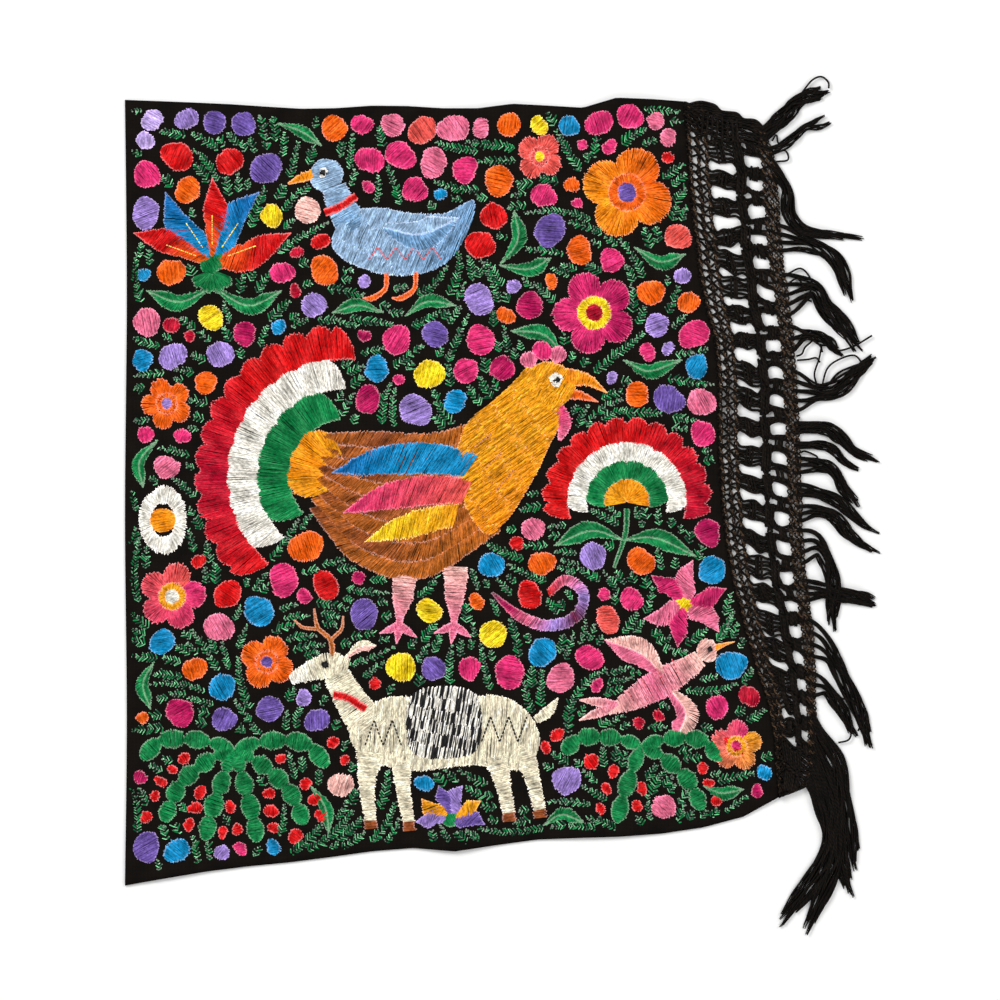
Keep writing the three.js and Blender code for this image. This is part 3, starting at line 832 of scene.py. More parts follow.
antlers = [
    satin([(-54, -97, 1.7), (-55, -88, 1.6), (-62, -81, 1.4), (-64, -71, 0.8)], "rust"),
    satin([(-55, -88, 1.3), (-49, -82, 1.2), (-48, -75, 0.7)], "rust"),
    satin([(-61, -82, 1.2), (-70, -81, 1.1), (-75, -77, 0.6)], "rust"),
]
sew("deer", deer_body, *deer_legs, *hooves, deer_neck, deer_head, deer_ear, deer_tail, *antlers)
blanket = [(-9, -117), (24, -117), (26, -147), (8, -153), (-11, -148)]
blanket = patch(blanket, "white", 80, row=6.5, mottle_and_glints=0.14)
dark = chance.random(len(blanket)) < 0.52
blanket[dark, 6:9] = DYES["black"]
deer_collar = satin([(-53, -118, 2.2), (-45, -120, 2.4), (-36, -126, 2.2)], "red")
marks = zigzag(28, 56, -144, -130, "black") + zigzag(-36, -12, -146, -132, "black")
sew("deer_blanket", blanket, deer_collar, *marks, over=0.9)

# The pink bird at the lower right, flying up to the right with both wings spread: one run of satin
# for the body, a leaf shape for each wing, and short back stitches on its side.
bird_body = satin(
    [(98, -128, 1.5), (110, -121, 6), (126, -112, 8.5), (140, -104, 6.5), (148, -98, 5)],
    ["soft_pink", "pink", "soft_pink"],
    mottle_and_glints=0.16,
)
bird_head = spot(152, -94, 6, "soft_pink", 40)
bird_beak = satin([(157, -92, 2), (163, -90, 1), (167, -89, 0.4)], "amber")
bird_wings = [
    leaf([(128, -108, 3), (116, -96, 8), (96, -88, 0.4)], ("pink", "soft_pink"), lean=0.7),
    leaf([(132, -116, 3), (140, -128, 7), (134, -144, 0.4)], ("soft_pink", "pink"), lean=0.7),
]
bird_tail = []
for k in range(2):
    plume = [(104, -124, 2.4), (92, -128 + 6 * k, 2.8), (82, -132 + 11 * k, 0.6)]
    bird_tail.append(satin(plume, ["pink", "soft_pink"]))
sew("pink_bird", bird_body, bird_head, bird_beak, *bird_wings, *bird_tail)
bird_lines = []
for k in range(4):
    bird_lines.append(running([(112 + 8 * k, -122 + 5 * k), (108 + 8 * k, -115 + 6 * k)], "crimson", 2.4))
sew("pink_bird_lines", *bird_lines, over=0.8)

# The eyes of the cock, the duck, the deer and the bird: small round spots of black satin stitch,
# worked last over the thread of the heads.
EYES = [(69.4, 55, 2.0), (-59.4, 169, 1.5), (-58, -101.5, 2.0), (153.5, -93, 1.4)]
sew("eyes", *[spot(x, y, radius, "black", 90, stretch=1.0) for x, y, radius in EYES], over=2.0)

# Two plants of green fronds, thick and drawn in between as beads are, that arch from one point and
# hang down, with small red berries round them.
FRONDS = [
    {"turn": 170, "long": 1.1, "falls": 0.30},
    {"turn": 210, "long": 0.95, "falls": 0.35},
    {"turn": 250, "long": 1.0, "falls": 0.1},
    {"turn": 286, "long": 1.0, "falls": 0.1},
    {"turn": 326, "long": 1.0, "falls": 0.3},
    {"turn": 8, "long": 1.1, "falls": 0.35},
]
PLANTS = [
    {"at": (-108, -148), "long": 48, "half": 3.4, "fronds": FRONDS},
    {"at": (116, -146), "long": 41, "half": 3.2, "fronds": [FRONDS[0], FRONDS[2], FRONDS[4], FRONDS[5]]},
]
BERRY_PITCH = 9.5
top_side, right_side, bottom_side, left_side = cloth_sides()
for number, plant in enumerate(PLANTS):
    worked, berries = [], []
    x, y = plant["at"]
    for frond in plant["fronds"]:
        long = plant["long"] * frond["long"]
        way = heading(frond["turn"])[0] * long
        fall = frond["falls"] * plant["long"]
        points = [
            (x, y, plant["half"] * 0.6),
            (x + 0.35 * way[0], y + 0.35 * way[1] + 0.12 * fall, plant["half"]),
            (x + 0.75 * way[0], y + 0.75 * way[1] - 0.15 * fall, plant["half"] * 1.1),
            (x + 0.98 * way[0], y + way[1] - fall, plant["half"] * 0.9),
        ]
        beads = {"scallop": (13, 3.6, "both"), "pad": 1.0, "mottle_and_glints": 0.16}
        worked.append(satin(points, ["leaf", "green", "leaf"], **beads))
        for p in curve_through(points, BERRY_PITCH)[1:]:
            for push in (-BERRY_PITCH, BERRY_PITCH):
                berries.append((p[0] + push + chance.normal(0, 0.8), p[1] + 3.5 + chance.normal(0, 1)))
    sew(f"plant_{number}", *worked)
    kept = []
    fronds = np.vstack(worked)
    middles = (fronds[:, :2] + fronds[:, 2:4]) / 2
    for p in berries:
        from_fronds = np.min(np.hypot(middles[:, 0] - p[0], middles[:, 1] - p[1]))
        from_kept = min([math.dist(p, q) for q in kept], default=99)
        level = np.interp(p[0], bottom_side[::-1][:, 0], bottom_side[::-1][:, 1])
        if from_fronds > 8.2 and from_kept > 8 and p[1] > level + 7 and p[0] > -162:
            kept.append(p)
    red_berries = []
    for p in kept:
        red_berries.append(spot(*p, chance.uniform(2.7, 3.5), "red", stretch=chance.uniform(1, 1.3)))
    sew(f"plant_berries_{number}", *red_berries)

# Leaves that stand alone between the figures. Each is stitched from its spine out to both edges, in
# two greens, with the darker one on either side in turn.
LEAVES = [
    [(-26, 92, 0.4), (-40, 96, 4), (-54, 92, 0.3)],
    [(-14, 90, 0.4), (-2, 98, 4), (14, 96, 0.3)],
    [(38, 118, 0.4), (48, 132, 4.5), (46, 148, 0.3)],
    [(38, 118, 0.4), (54, 116, 4.5), (66, 122, 0.3)],
    [(112, 128, 0.4), (126, 120, 4.5), (140, 124, 0.3)],
    [(72, 70, 0.4), (62, 80, 4.5), (44, 82, 0.3)],
    [(106, 66, 0.4), (120, 60, 4.5), (138, 66, 0.3)],
    [(-150, 22, 0.4), (-160, 10, 4), (-158, -4, 0.3)],
    [(-84, 196, 0.4), (-72, 192, 3.6), (-60, 184, 0.3)],
    [(62, -190, 0.4), (72, -184, 4), (84, -188, 0.3)],
    [(150, -168, 0.4), (160, -172, 4), (172, -170, 0.3)],
    [(-152, -100, 0.4), (-158, -112, 4), (-154, -126, 0.3)],
    [(-66, -168, 0.4), (-58, -180, 4), (-56, -194, 0.3)],
]
sides = [("leaf", "green"), ("green", "leaf")]
sew("single_leaves", *[leaf(points, sides[k % 2]) for k, points in enumerate(LEAVES)])

# A curling tendril in thread dyed from plum to lilac along its length, and the fruit at the left: a
# ring of white satin stitch round an oval gold spot.
tendril = [(34, -62, 1), (48, -74, 3.0), (64, -80, 3.4), (80, -75, 3.4)]
tendril += [(84, -62, 3.2), (74, -55, 3), (65, -62, 2.4)]
tendril_dyes = "plum magenta pink lilac plum lilac pink red".split()
tendril = satin(tendril, tendril_dyes, slant=0.3, mottle_and_glints=0.3)
fruit = [
    fan((-147, -22), 8, 16, (0, 360), "white", (40, 1.2), squash=(0.82, 1.15)),
    spot(-147, -22, 8, "amber", 10, stretch=0.8),
]
sew("tendril_and_fruit", tendril, *fruit)

# Round spots of satin stitch fill the black ground between the figures: a row of large ones along three
# edges, then as many as there is room for, then small ones in the gaps. Each is laid on free ground.
CELL = 1.0
DEEPEST_ROOM = 14
filled_wide = int((grid_high[0] - grid_low[0]) / CELL)
filled_high = int((grid_high[1] - grid_low[1]) / CELL)
taken = np.ones((filled_high, filled_wide), bool)


def cells(places):
    """The rows and columns of the cells of ground that hold these places."""
    at = ((np.asarray(places) - grid_low) / CELL).astype(int)
    return np.clip(at[..., 1], 0, filled_high - 1), np.clip(at[..., 0], 0, filled_wide - 1)


def cover(threads):
    """Marks the ground under these stitches as taken."""
    for share in np.linspace(0, 1, 12):
        taken[cells(threads[:, :2] * (1 - share) + threads[:, 2:4] * share)] = True


def room():
    """How far each cell of the ground is from a stitch or an edge, in mm."""
    free = ~taken
    distance = np.zeros(taken.shape)
    for step in range(DEEPEST_ROOM):
        distance += free
        shrunk = free.copy()
        shrunk[1:] &= free[:-1]
        shrunk[:-1] &= free[1:]
        shrunk[:, 1:] &= free[:, :-1]
        shrunk[:, :-1] &= free[:, 1:]
        if step % 2:
            shrunk[1:, 1:] &= free[:-1, :-1]
            shrunk[:-1, :-1] &= free[1:, 1:]
            shrunk[1:, :-1] &= free[:-1, 1:]
            shrunk[:-1, 1:] &= free[1:, :-1]
        free = shrunk
    return distance


def free_place(open_cells):
    """One of the open cells by chance: its row and column, and its middle in mm."""
    j, i = open_cells[chance.integers(len(open_cells))]
    return (j, i), grid_low + (np.array([i, j]) + 0.5) * CELL


taken[cells(cloth_places(700, 900)[8:-8, 6:-6].reshape(-1, 2))] = False
for threads in sewn:
    cover(threads)

# The rows along three edges, as dyes in their order. The place of a none stays free.
EDGE_INSET = 11.0
EDGE_ROWS = [
    {
        "side": top_side,
        "inward": (0, -1),
        "dyes": "pale_lilac lilac purple purple none pink orange hot_pink pink coral pink pink orange "
        "yellow azure hot_pink hot_pink pink",
    },
    {
        "side": right_side,
        "inward": (-1, 0),
        "dyes": "pink pink pink coral azure orange hot_pink azure pink hot_pink azure azure magenta "
        "azure pink azure azure crimson crimson hot_pink",
    },
    {
        "side": left_side[::-1],
        "inward": (1, 0),
        "dyes": "pale_lilac hot_pink lilac orange orange pink azure pink hot_pink magenta hot_pink azure "
        "orange pink lilac red coral azure lilac purple",
    },
]
spots = []


def place_spot(x, y, radius, dye):
    """A spot of the large kind, and its ground taken."""
    stitched = spot(x, y, radius, dye, stretch=chance.uniform(0.92, 1.22))
    spots.append(stitched)
    cover(stitched)


for row in EDGE_ROWS:
    dyes = row["dyes"].split()
    places = along(row["side"], len(dyes) + 1)[1:-1]
    for (x, y), dye in zip(places, dyes):
        x = x + row["inward"][0] * EDGE_INSET + chance.normal(0, 0.9)
        y = y + row["inward"][1] * EDGE_INSET + chance.normal(0, 0.9)
        clear = room()[cells((x, y))]
        if clear > 5.5 and dye != "none":
            place_spot(x, y, min(clear - 1.2, chance.uniform(7.1, 8.2)), dye)

SPOT_DYES = "hot_pink hot_pink pink magenta orange orange coral red azure azure lilac purple yellow"
SPOT_DYES = [*SPOT_DYES.split(), "soft_pink"]
SPOT_ROOM = [{"least": 11, "tries": 34, "radius": 7.8}, {"least": 9, "tries": 46, "radius": 7.0}]
for row in SPOT_ROOM:
    for attempt in range(row["tries"]):
        distance = room()
        open_cells = np.argwhere((distance >= row["least"]) & (distance < row["least"] + 2.2))
        if not len(open_cells):
            break
        _, (x, y) = free_place(open_cells)
        radius = row["radius"] * chance.uniform(0.86, 1.08)
        place_spot(x, y, radius, str(chance.choice(SPOT_DYES)))
sew("spots", *spots)

SMALL_DYES = "crimson red hot_pink magenta orange azure lilac".split()
SMALL_TRIES = 46
small_spots = []
for attempt in range(SMALL_TRIES):
    distance = room()
    open_cells = np.argwhere((distance >= 5.5) & (distance < 8))
    if not len(open_cells):
        break
    _, (x, y) = free_place(open_cells)
    dye = str(chance.choice(SMALL_DYES))
    stitched = spot(x, y, chance.uniform(3.0, 4.6), dye, stretch=chance.uniform(0.95, 1.3))
    small_spots.append(stitched)
    cover(stitched)
sew("small_spots", *small_spots)

# Sprigs of green thread fill the ground that is still free: a fishbone of slanting stitches, with
# paler ones among them. Those of one neighbourhood lie side by side as a spray.
GREENS = [("green", "fresh", "bottle"), ("leaf", "fresh", "bottle"), ("bottle", "fresh", "green")]
PALE_SHARE = 0.27
FISHBONE_PITCH = 1.65
SPRIG_STEP = 1.9
SPRIG_TRIES = 1100


def feather(points, dyes, half):
    """A sprig along a line: a slanting stitch to each side at every step, shorter towards its tip."""
    line = curve_through([(*p[:2], 0) for p in points], FISHBONE_PITCH)
    ahead, left = ways(line)
    count = len(line)
    taper = np.clip(np.linspace(1.6, 0.5, count), 0, 1)[:, None]
    worked = []
    for side in (1, -1):
        reach = half * taper * (1 + chance.normal(0, 0.2, (count, 1)))
        start = line[:, :2] - left * side * 0.35 + ahead * chance.normal(0, 0.2, (count, 1))
        end = start + left * side * reach + ahead * (0.75 * reach + chance.normal(0, 0.6, (count, 1)))
        pale = chance.random(count) < PALE_SHARE
        names = np.where(pale, dyes[1], np.where(chance.random(count) < 0.5, dyes[0], dyes[2]))
        colours = np.array([DYES[name] for name in names]) * chance.uniform(0.7, 1.2, (count, 1))
        worked.append(stitches(start, end, colours, 0.1, np.where(pale, 0.60, 0.86)))
    return np.vstack(worked)


def spray_heading(x, y):
    """The way the sprigs of one neighbourhood run, so that they lie side by side as a spray."""
    return 1.55 + 1.0 * math.sin(x / 31 + 0.4 * math.sin(y / 23)) + 0.8 * math.cos(y / 27 + x / 90)


def grow(at, distance, step):
    """A line of places from one place along the headings, for as long as the ground is free."""
    line = [np.array(at, float)]
    while len(line) < 13:
        turn = spray_heading(*line[-1])
        ahead = line[-1] + step * np.array([math.cos(turn), math.sin(turn)])
        if distance[cells(ahead)] < 2:
            break
        line.append(ahead)
    return line


sprigs = []
for attempt in range(SPRIG_TRIES):
    if attempt % 3 == 0:
        distance = room()
    open_cells = np.argwhere(distance >= 3)
    if not len(open_cells):
        break
    cell, at = free_place(open_cells)
    line = grow(at, distance, -SPRIG_STEP)[::-1][:-1] + grow(at, distance, SPRIG_STEP)
    if len(line) < 4:
        taken[cell] = True
        continue
    points = [line[0], line[len(line) // 3], line[2 * len(line) // 3], line[-1]]
    stitched = feather(points, GREENS[chance.integers(3)], half=chance.uniform(2.4, 3.3))
    sprigs.append(stitched)
    cover(stitched)
sew("sprigs", *sprigs, light=True)

# The knotted band: groups of six black yarns run out from the cloth's end, cross as a fine net, are
# drawn into thick bars by wrapped knots, part and join again, and end in three twined cords.
NET_GROUPS = 25
SHUT_TOP, SHUT_FOOT = 1, 2
YARNS = 6
YARN = 0.80
NET_OUTER = [(183, 193), (189, 172), (193, 123), (198.5, 82), (202, 26), (204.5, -38)]
NET_OUTER += [(210, -88), (211, -125), (211, -152), (207, -168)]
# How the six yarns of a group lie at shares of the band's width: half of their spread as a share of
# the group, how far its two halves part to make a gap between them, and the way that they cross.
NET_COLUMNS = ("across", "spread", "part", "cross")
NET_LINES = [
    (-0.03, 0.42, 0.0, 0),
    (0.05, 0.42, 0.0, 1),
    (0.12, 0.42, 0.0, -1),
    (0.19, 0.42, 0.0, 1),
    (0.25, 0.26, 0.0, 0),
    (0.33, 0.31, 0.0, 0),
    (0.41, 0.34, 0.0, 0),
    (0.50, 0.27, 0.0, 0),
    (0.56, 0.42, 0.0, 0),
    (0.62, 0.42, 0.0, 0),
    (0.665, 0.17, 0.27, 0),
    (0.75, 0.15, 0.30, 0),
    (0.835, 0.20, 0.26, 0),
    (0.88, 0.42, 0.0, 1),
    (0.94, 0.42, 0.0, -1),
    (1.0, 0.42, 0.0, 0),
]
NET_LINES = [dict(zip(NET_COLUMNS, line)) for line in NET_LINES]
# How far the crossing yarns shift, how far the bars of each group slant down on their way out, how
# much wider the bars of the lower groups are, and where each yarn is thick or thin.
CROSSING = 0.075
SLANT = {"group": [0, 5, 11, 15, 19, 25], "drop": [0.0, -0.12, 0.05, 0.45, 0.75, 0.5]}
SNUG = {"group": [12, 18], "spread": [1.0, 1.22]}
THICKNESS = {"across": [0.18, 0.26, 0.84, 0.9], "share": [0.84, 1, 1, 0.74]}
NET_STEPS = 58
EDGE_STEPS = 1600
inner_line = along(right_side, EDGE_STEPS)
outer_line = even_line(NET_OUTER, EDGE_STEPS)


def on_net(across, down):
    """Places on the band, from 0 at the cloth's end to 1 at the outer edge, and from 0 down to 1."""
    down = np.clip(down, 0, 1) * EDGE_STEPS
    i = np.minimum(down.astype(int), EDGE_STEPS - 1)
    part = (down - i)[..., None]
    near = inner_line[i] * (1 - part) + inner_line[i + 1] * part
    far = outer_line[i] * (1 - part) + outer_line[i + 1] * part
    return near + (far - near) * np.asarray(across)[..., None]


YARN_SIDES = 5
spun = {"band": [], "fringe": []}


def spin(where, paths, radius, axis=(0, 0, 1), shade=1.0):
    """Yarn along paths that all have the same number of points: a tube round each."""
    sides = YARN_SIDES
    paths = np.asarray(paths, float)
    count, length = paths.shape[:2]
    ahead = np.gradient(paths, axis=1)
    ahead /= np.maximum(np.linalg.norm(ahead, axis=2, keepdims=True), 1e-6)
    side = np.cross(np.broadcast_to(np.asarray(axis, float), ahead.shape), ahead)
    side /= np.maximum(np.linalg.norm(side, axis=2, keepdims=True), 1e-6)
    up = np.cross(ahead, side)
    angle = -math.pi / 2 + 2 * math.pi * np.arange(sides) / sides
    radius = np.broadcast_to(radius, (count, length))[..., None, None]
    ring = side[:, :, None] * np.cos(angle)[:, None] + up[:, :, None] * np.sin(angle)[:, None]
    points = paths[:, :, None] + ring * radius
    index = np.arange(count * length * sides).reshape(count, length, sides)
    after = np.roll(index, -1, axis=2)
    quads = np.stack([index[:, :-1], after[:, :-1], after[:, 1:], index[:, 1:]], axis=-1)
    steps = np.linalg.norm(np.diff(paths, axis=1), axis=2)
    reach = np.concatenate([np.zeros((count, 1)), np.cumsum(steps, axis=1)], axis=1)
    reach = reach + chance.uniform(0, 9, (count, 1))
    lay = np.stack(np.broadcast_arrays(reach[..., None], np.arange(sides) / sides), axis=-1)
    shades = np.broadcast_to(np.asarray(shade, float).reshape(-1, 1, 1), (count, length, sides))
    shades = shades * chance.uniform(0.7, 1.3, (count, 1, 1))
    shades = shades * (1 + 0.35 * np.sin(reach[..., None] / 1.9))
    spun[where].append((points.reshape(-1, 3), quads.reshape(-1, 4), lay.reshape(-1, 2), shades.ravel()))


def yarn_material():
    """Black-brown yarn of a few plies: the twist shows as slanting ridges that catch a brown light."""
    material, tree, shader = plain_material("knotted_yarn", (0.02, 0.014, 0.01), 0.7)
    shader.inputs["Specular IOR Level"].default_value = 0.08
    lay = add_node(tree, "UVMap", uv_map="lay")
    split = add_node(tree, "SeparateXYZ", feeds={"Vector": lay.outputs["UV"]})
    two_plies = {1: 4 * math.pi}
    around = add_node(tree, "Math", two_plies, {0: split.outputs["Y"]}, operation="MULTIPLY")
    slanting = {0: split.outputs["X"], 2: around.outputs["Value"]}
    turn = add_node(tree, "Math", {1: 2.6}, slanting, operation="MULTIPLY_ADD")
    ridge = add_node(tree, "Math", feeds={0: turn.outputs["Value"]}, operation="SINE")
    lit = add_node(tree, "MapRange", {"From Min": -1}, {"Value": ridge.outputs["Value"]}).outputs["Result"]
    shade = add_node(tree, "Attribute", attribute_name="dye")
    blacks = {"Color1": (0.0018, 0.0014, 0.0012, 1), "Color2": (0.010, 0.007, 0.005, 1)}
    # Painted light: the ridges of the twist are painted brown and light, the hollows near black.
    dye = add_node(tree, "MixRGB", blacks, {"Fac": lit})
    shaded = {0: dye.outputs["Color"], 1: shade.outputs["Color"]}
    tint_with_painted_light = add_node(tree, "VectorMath", feeds=shaded, operation="MULTIPLY")
    bump = add_node(tree, "Bump", {"Strength": 0.6, "Distance": 0.0002}, {"Height": lit})
    tree.links.new(tint_with_painted_light.outputs["Vector"], shader.inputs["Base Color"])
    tree.links.new(bump.outputs["Normal"], shader.inputs["Normal"])
    return material


yarn_finish = yarn_material()


def yarn_piece(name, where):
    """All the yarn of one piece as one mesh. The lighter a yarn is, the browner, so the lightest carry a
    painted brown highlight.
    """
    points, quads, lays, shades, first = [], [], [], [], 0
    for places, faces, lay, shade in spun[where]:
        points.append(places)
        quads.append(faces + first)
        lays.append(lay)
        shades.append(shade)
        first += len(places)
    points, quads, lays, shades = map(np.concatenate, (points, quads, lays, shades))
    points[:, 2] = np.maximum(points[:, 2], 0.02)
    piece = new_piece(name, points, quads, yarn_finish)
    warm = np.clip((shades - 1.5) / 5, 0, 1)
    browns = [shades, shades * (1 - 0.2 * warm), shades * (1 - 0.42 * warm), np.ones(len(shades))]
    colour_and_lay(piece.data, np.column_stack(browns), lays)
    return piece


def lying(across, down, lift):
    """Places in mm on the band, with their height."""
    flat = on_net(across, down)
    height = rest_height(flat[..., 0], flat[..., 1]) + lift
    return np.concatenate([flat, height[..., None]], axis=-1)


shares = np.linspace(-0.03, 1, NET_STEPS)
keys = np.array([row["across"] for row in NET_LINES])
paths = []
drifts = chance.normal(0, 0.065, (NET_GROUPS + 1, len(NET_LINES)))
drifts[:, 1:-1] = (drifts[:, :-2] + drifts[:, 1:-1] + drifts[:, 2:]) / 1.7
drifts[:, (keys > 0.53) & (keys < 0.65)] *= 0.2
slackness = chance.uniform(0.82, 1.22, NET_GROUPS + 1)
drop = np.interp(np.arange(NET_GROUPS + 1), SLANT["group"], SLANT["drop"])
drifts += drop[:, None] * np.clip((keys - 0.2) / 0.6, 0, 1.2)
for group in range(NET_GROUPS):
    shut = group < SHUT_TOP or group >= NET_GROUPS - SHUT_FOOT
    shut_spread = 0.38 if group < SHUT_TOP else 0.46
    gape = chance.uniform(0.8, 1.1, 2)
    snug = np.interp(group, SNUG["group"], SNUG["spread"])
    layers = (0.0, 1.15) if shut else (0.0,)
    for layer in layers:
        for k in range(YARNS):
            u = (k - (YARNS - 1) / 2) / ((YARNS - 1) / 2)
            side = math.copysign(1, u)
            places = []
            for row, drift in zip(NET_LINES, drifts[group]):
                open_share = 0.0 if shut else row["part"]
                tight = snug if 0.2 < row["across"] < 0.55 else 1.0
                spread_share = min(row["spread"] * slackness[group] * tight, 0.42)
                if shut:
                    spread_share = shut_spread
                inside = 2 * (abs(u) - 0.2) / 0.8 - 1
                if open_share:
                    parted = open_share * gape[int(side > 0)]
                    at = side * (parted + 0.5 * spread_share * (inside + 1) * 0.9)
                else:
                    at = u * spread_share
                cross = 0 if shut and layer else row["cross"]
                at += cross * (1 if k % 2 else -1) * CROSSING * chance.uniform(0.5, 1.3)
                places.append(at + drift + chance.normal(0, 0.018))
            line = curve_through(np.column_stack([keys * 60, places, places]), 0.6)
            down = (group + 0.5 + np.interp(shares * 60, line[:, 0], line[:, 1])) / NET_GROUPS
            wave = np.sin(shares * 24 + k * 2.1 + group) * 0.22
            weave = 0.45 * np.sin(shares * 2 * math.pi / 0.14 + (k % 2) * math.pi) * (shares < 0.22)
            paths.append(lying(shares, down, YARN + 0.35 + layer + wave + weave))
spin("band", paths, YARN * np.interp(shares, THICKNESS["across"], THICKNESS["share"]))


def wraps(across, long, groups, half, turns, centre=0.5, high=2.3):
    """Turns of yarn side by side over a bar, from one of its sides to the other."""
    t = np.linspace(-1, 1, 9)
    worked = []
    for group in groups:
        loose = slackness[group] if centre else 1.0
        both = drifts[group] if centre else (drifts[group] + drifts[group - 1]) / 2
        for turn in range(turns):
            place = across + long * ((turn + 0.5) / turns - 0.5) + chance.normal(0, 0.004)
            middle = group + centre + np.interp(place, keys, both)
            down = (middle + half * loose * t * (1 + chance.normal(0, 0.05))) / NET_GROUPS
            lean = 0.5 * long / turns * t * (1 if group % 2 else -1)
            arch = high * np.sqrt(np.maximum(1 - t**2, 0)) * chance.uniform(0.85, 1.1)
            worked.append(lying(place + lean, down, 0.35 + arch))
    spin("band", worked, YARN * 0.92, axis=(1, 0, 0.02), shade=1.2)


# The wrapped knots: bars beside the lattice, one row between the windows, ties where two groups
# meet in the second windows, and the bound groups at both ends of the band.
OPEN_GROUPS = range(SHUT_TOP, NET_GROUPS - SHUT_FOOT)
MEETING_GROUPS = range(SHUT_TOP, NET_GROUPS - SHUT_FOOT + 1)
SHUT_GROUPS = [0, NET_GROUPS - 2, NET_GROUPS - 1]
wraps(0.375, long=0.11, groups=OPEN_GROUPS, half=0.335, turns=3)
wraps(0.59, long=0.12, groups=OPEN_GROUPS, half=0.47, turns=4, high=2.6)
wraps(0.75, long=0.11, groups=MEETING_GROUPS, half=0.25, turns=4, centre=0.0, high=2.4)
wraps(0.4, long=0.5, groups=SHUT_GROUPS, half=0.47, turns=8, high=3.0)


def twined(across, pitch, swing, radius, lift, shades=(1.0, 8.0)):
    """Two cords that twine down the band at one share of its width, each in its shade; by default the
    second is painted brown and light as a highlight.
    """
    long = np.linalg.norm(np.diff(outer_line, axis=0), axis=1).sum()
    down = np.linspace(0.002, 0.998, int(long / 1.1))
    wide = np.linalg.norm(on_net(np.ones(len(down)), down) - on_net(np.zeros(len(down)), down), axis=1)
    phase = 2 * math.pi * down * long / pitch + 0.5 * np.sin(down * 61)
    for strand in range(2):
        at = phase + math.pi * strand
        share = across + (swing * np.sin(at) + 0.25 * np.sin(down * 97 + across * 9)) / wide
        spin("band", [lying(share, down, radius + lift + 0.55 * np.cos(at))], radius, shade=shades[strand])


# The outer cords twine a black strand with one painted brown and light; the middle cord is black in both.
for across, lift in ((0.015, 0.8), (0.11, 0.5), (0.205, 0.9)):
    twined(across, pitch=5.4, swing=0.85, radius=0.54, lift=lift)
twined(0.575, pitch=9.0, swing=1.0, radius=0.85, lift=1.2, shades=(1.0, 1.0))
for across, lift in ((0.868, 1.0), (0.935, 1.2), (0.995, 0.9)):
    twined(across, pitch=5.8, swing=1.1, radius=0.5, lift=lift)

# The yarns of the upper edge, drawn into soft steps by the knots, lie along it as a thick hem.
STEPPED_EDGE = [(139, 205.5), (148, 207.8), (156, 206), (160, 202.6), (168, 201.6)]
STEPPED_EDGE += [(172, 198.4), (179, 197.4), (184, 192)]
for inward in (0.0, 1.5, 3.0, 4.4):
    line = even_line([(x, y - inward) for x, y in STEPPED_EDGE], 46)
    rise = 1.3 + 0.4 * np.sin(np.arange(len(line)) * 0.9 + inward)
    spin("band", [np.column_stack([line, rest_height(line[:, 0], line[:, 1]) + rise])], 0.85)
band = yarn_piece("knotted_net", "band")
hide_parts("knotted_band")

# The tassel fringe: yarns leave the band's outer cord one by one as loops, gather into bunches that
# lie as they fell, and fray at their tips. A tassel has its strands, the stretch of the cord that
# they leave, how far they part at the tips, and the places that it runs through.
TASSEL_COLUMNS = ("strands", "from", "to", "fan", "way")
TASSELS = [
    (4, 192, 186, 1.0, [(191, 196.5), (197, 203.5), (202, 208), (220, 214.5)]),
    (2, 181, 178, 2.6, [(195, 184.5), (205, 193), (213, 195.5), (223, 201.5)]),
    (3, 178, 168, 0.6, [(196, 160), (197, 146), (205, 137), (221, 135), (238, 132)]),
    (4, 140, 126, 0.7, [(208, 130), (219, 124), (227, 112), (233, 95)]),
    (5, 112, 90, 0.7, [(210, 105), (217, 95), (226, 84), (237, 70)]),
    (3, 84, 70, 0.6, [(209, 80), (218, 76), (227, 68)]),
    (5, 60, 38, 0.55, [(212, 48), (222, 50), (232, 58), (245, 68)]),
    (3, 31, 26, 0.7, [(215, 29), (223, 25), (233, 16), (247, 9)]),
    (2, 20, 18, 0.6, [(214, 19), (221, 17), (229, 9), (239, 4)]),
    (3, 12, 4, 0.7, [(214, 8), (222, 4), (229, -7), (236, -15)]),
    (3, -2, -8, 0.7, [(213, -7), (223, -11), (232, -20), (247, -30)]),
    (3, -15, -23, 0.7, [(213, -17), (222, -20), (231, -31), (247, -41)]),
    (4, -28, -46, 0.7, [(213, -36), (220, -50), (221, -66), (222, -84)]),
    (4, -55, -66, 0.8, [(213, -61), (224, -62), (235, -65), (247, -69)]),
    (4, -76, -96, 0.7, [(217, -92), (228, -110), (236, -130), (244, -152)]),
    (3, -106, -118, 0.7, [(218, -115), (226, -127), (234, -142)]),
    (5, -127, -139, 0.6, [(214, -142), (222.5, -156), (228, -180), (234, -216)]),
    (5, -142, -153, 0.5, [(215, -158), (222.5, -176), (223.5, -200), (232, -230)]),
    (5, -154, -160, 0.7, [(217, -174), (222.5, -198), (217, -222), (206, -250)]),
    (5, -160, -167, 0.7, [(213, -174), (220, -195), (212, -217), (191, -246)]),
]
FINE_YARNS = 6
FINE = 0.52
STRAND_PITCH = 1.9
TASSEL_STEPS = 36
WAY_STEPS = 400
TASSEL_THICKNESS = {"along": [0, 0.06, 0.85, 1], "share": [1.1, 1, 1, 0.5]}


def eased(t):
    """A soft rise from 0 to 1."""
    t = np.clip(t, 0, 1)
    return t * t * (3 - 2 * t)


def net_edge(height):
    """The place on the outer edge of the band at a height on the page."""
    down = np.interp(-height, -outer_line[:, 1], np.linspace(0, 1, len(outer_line)))
    return on_net(np.array(0.96), down)


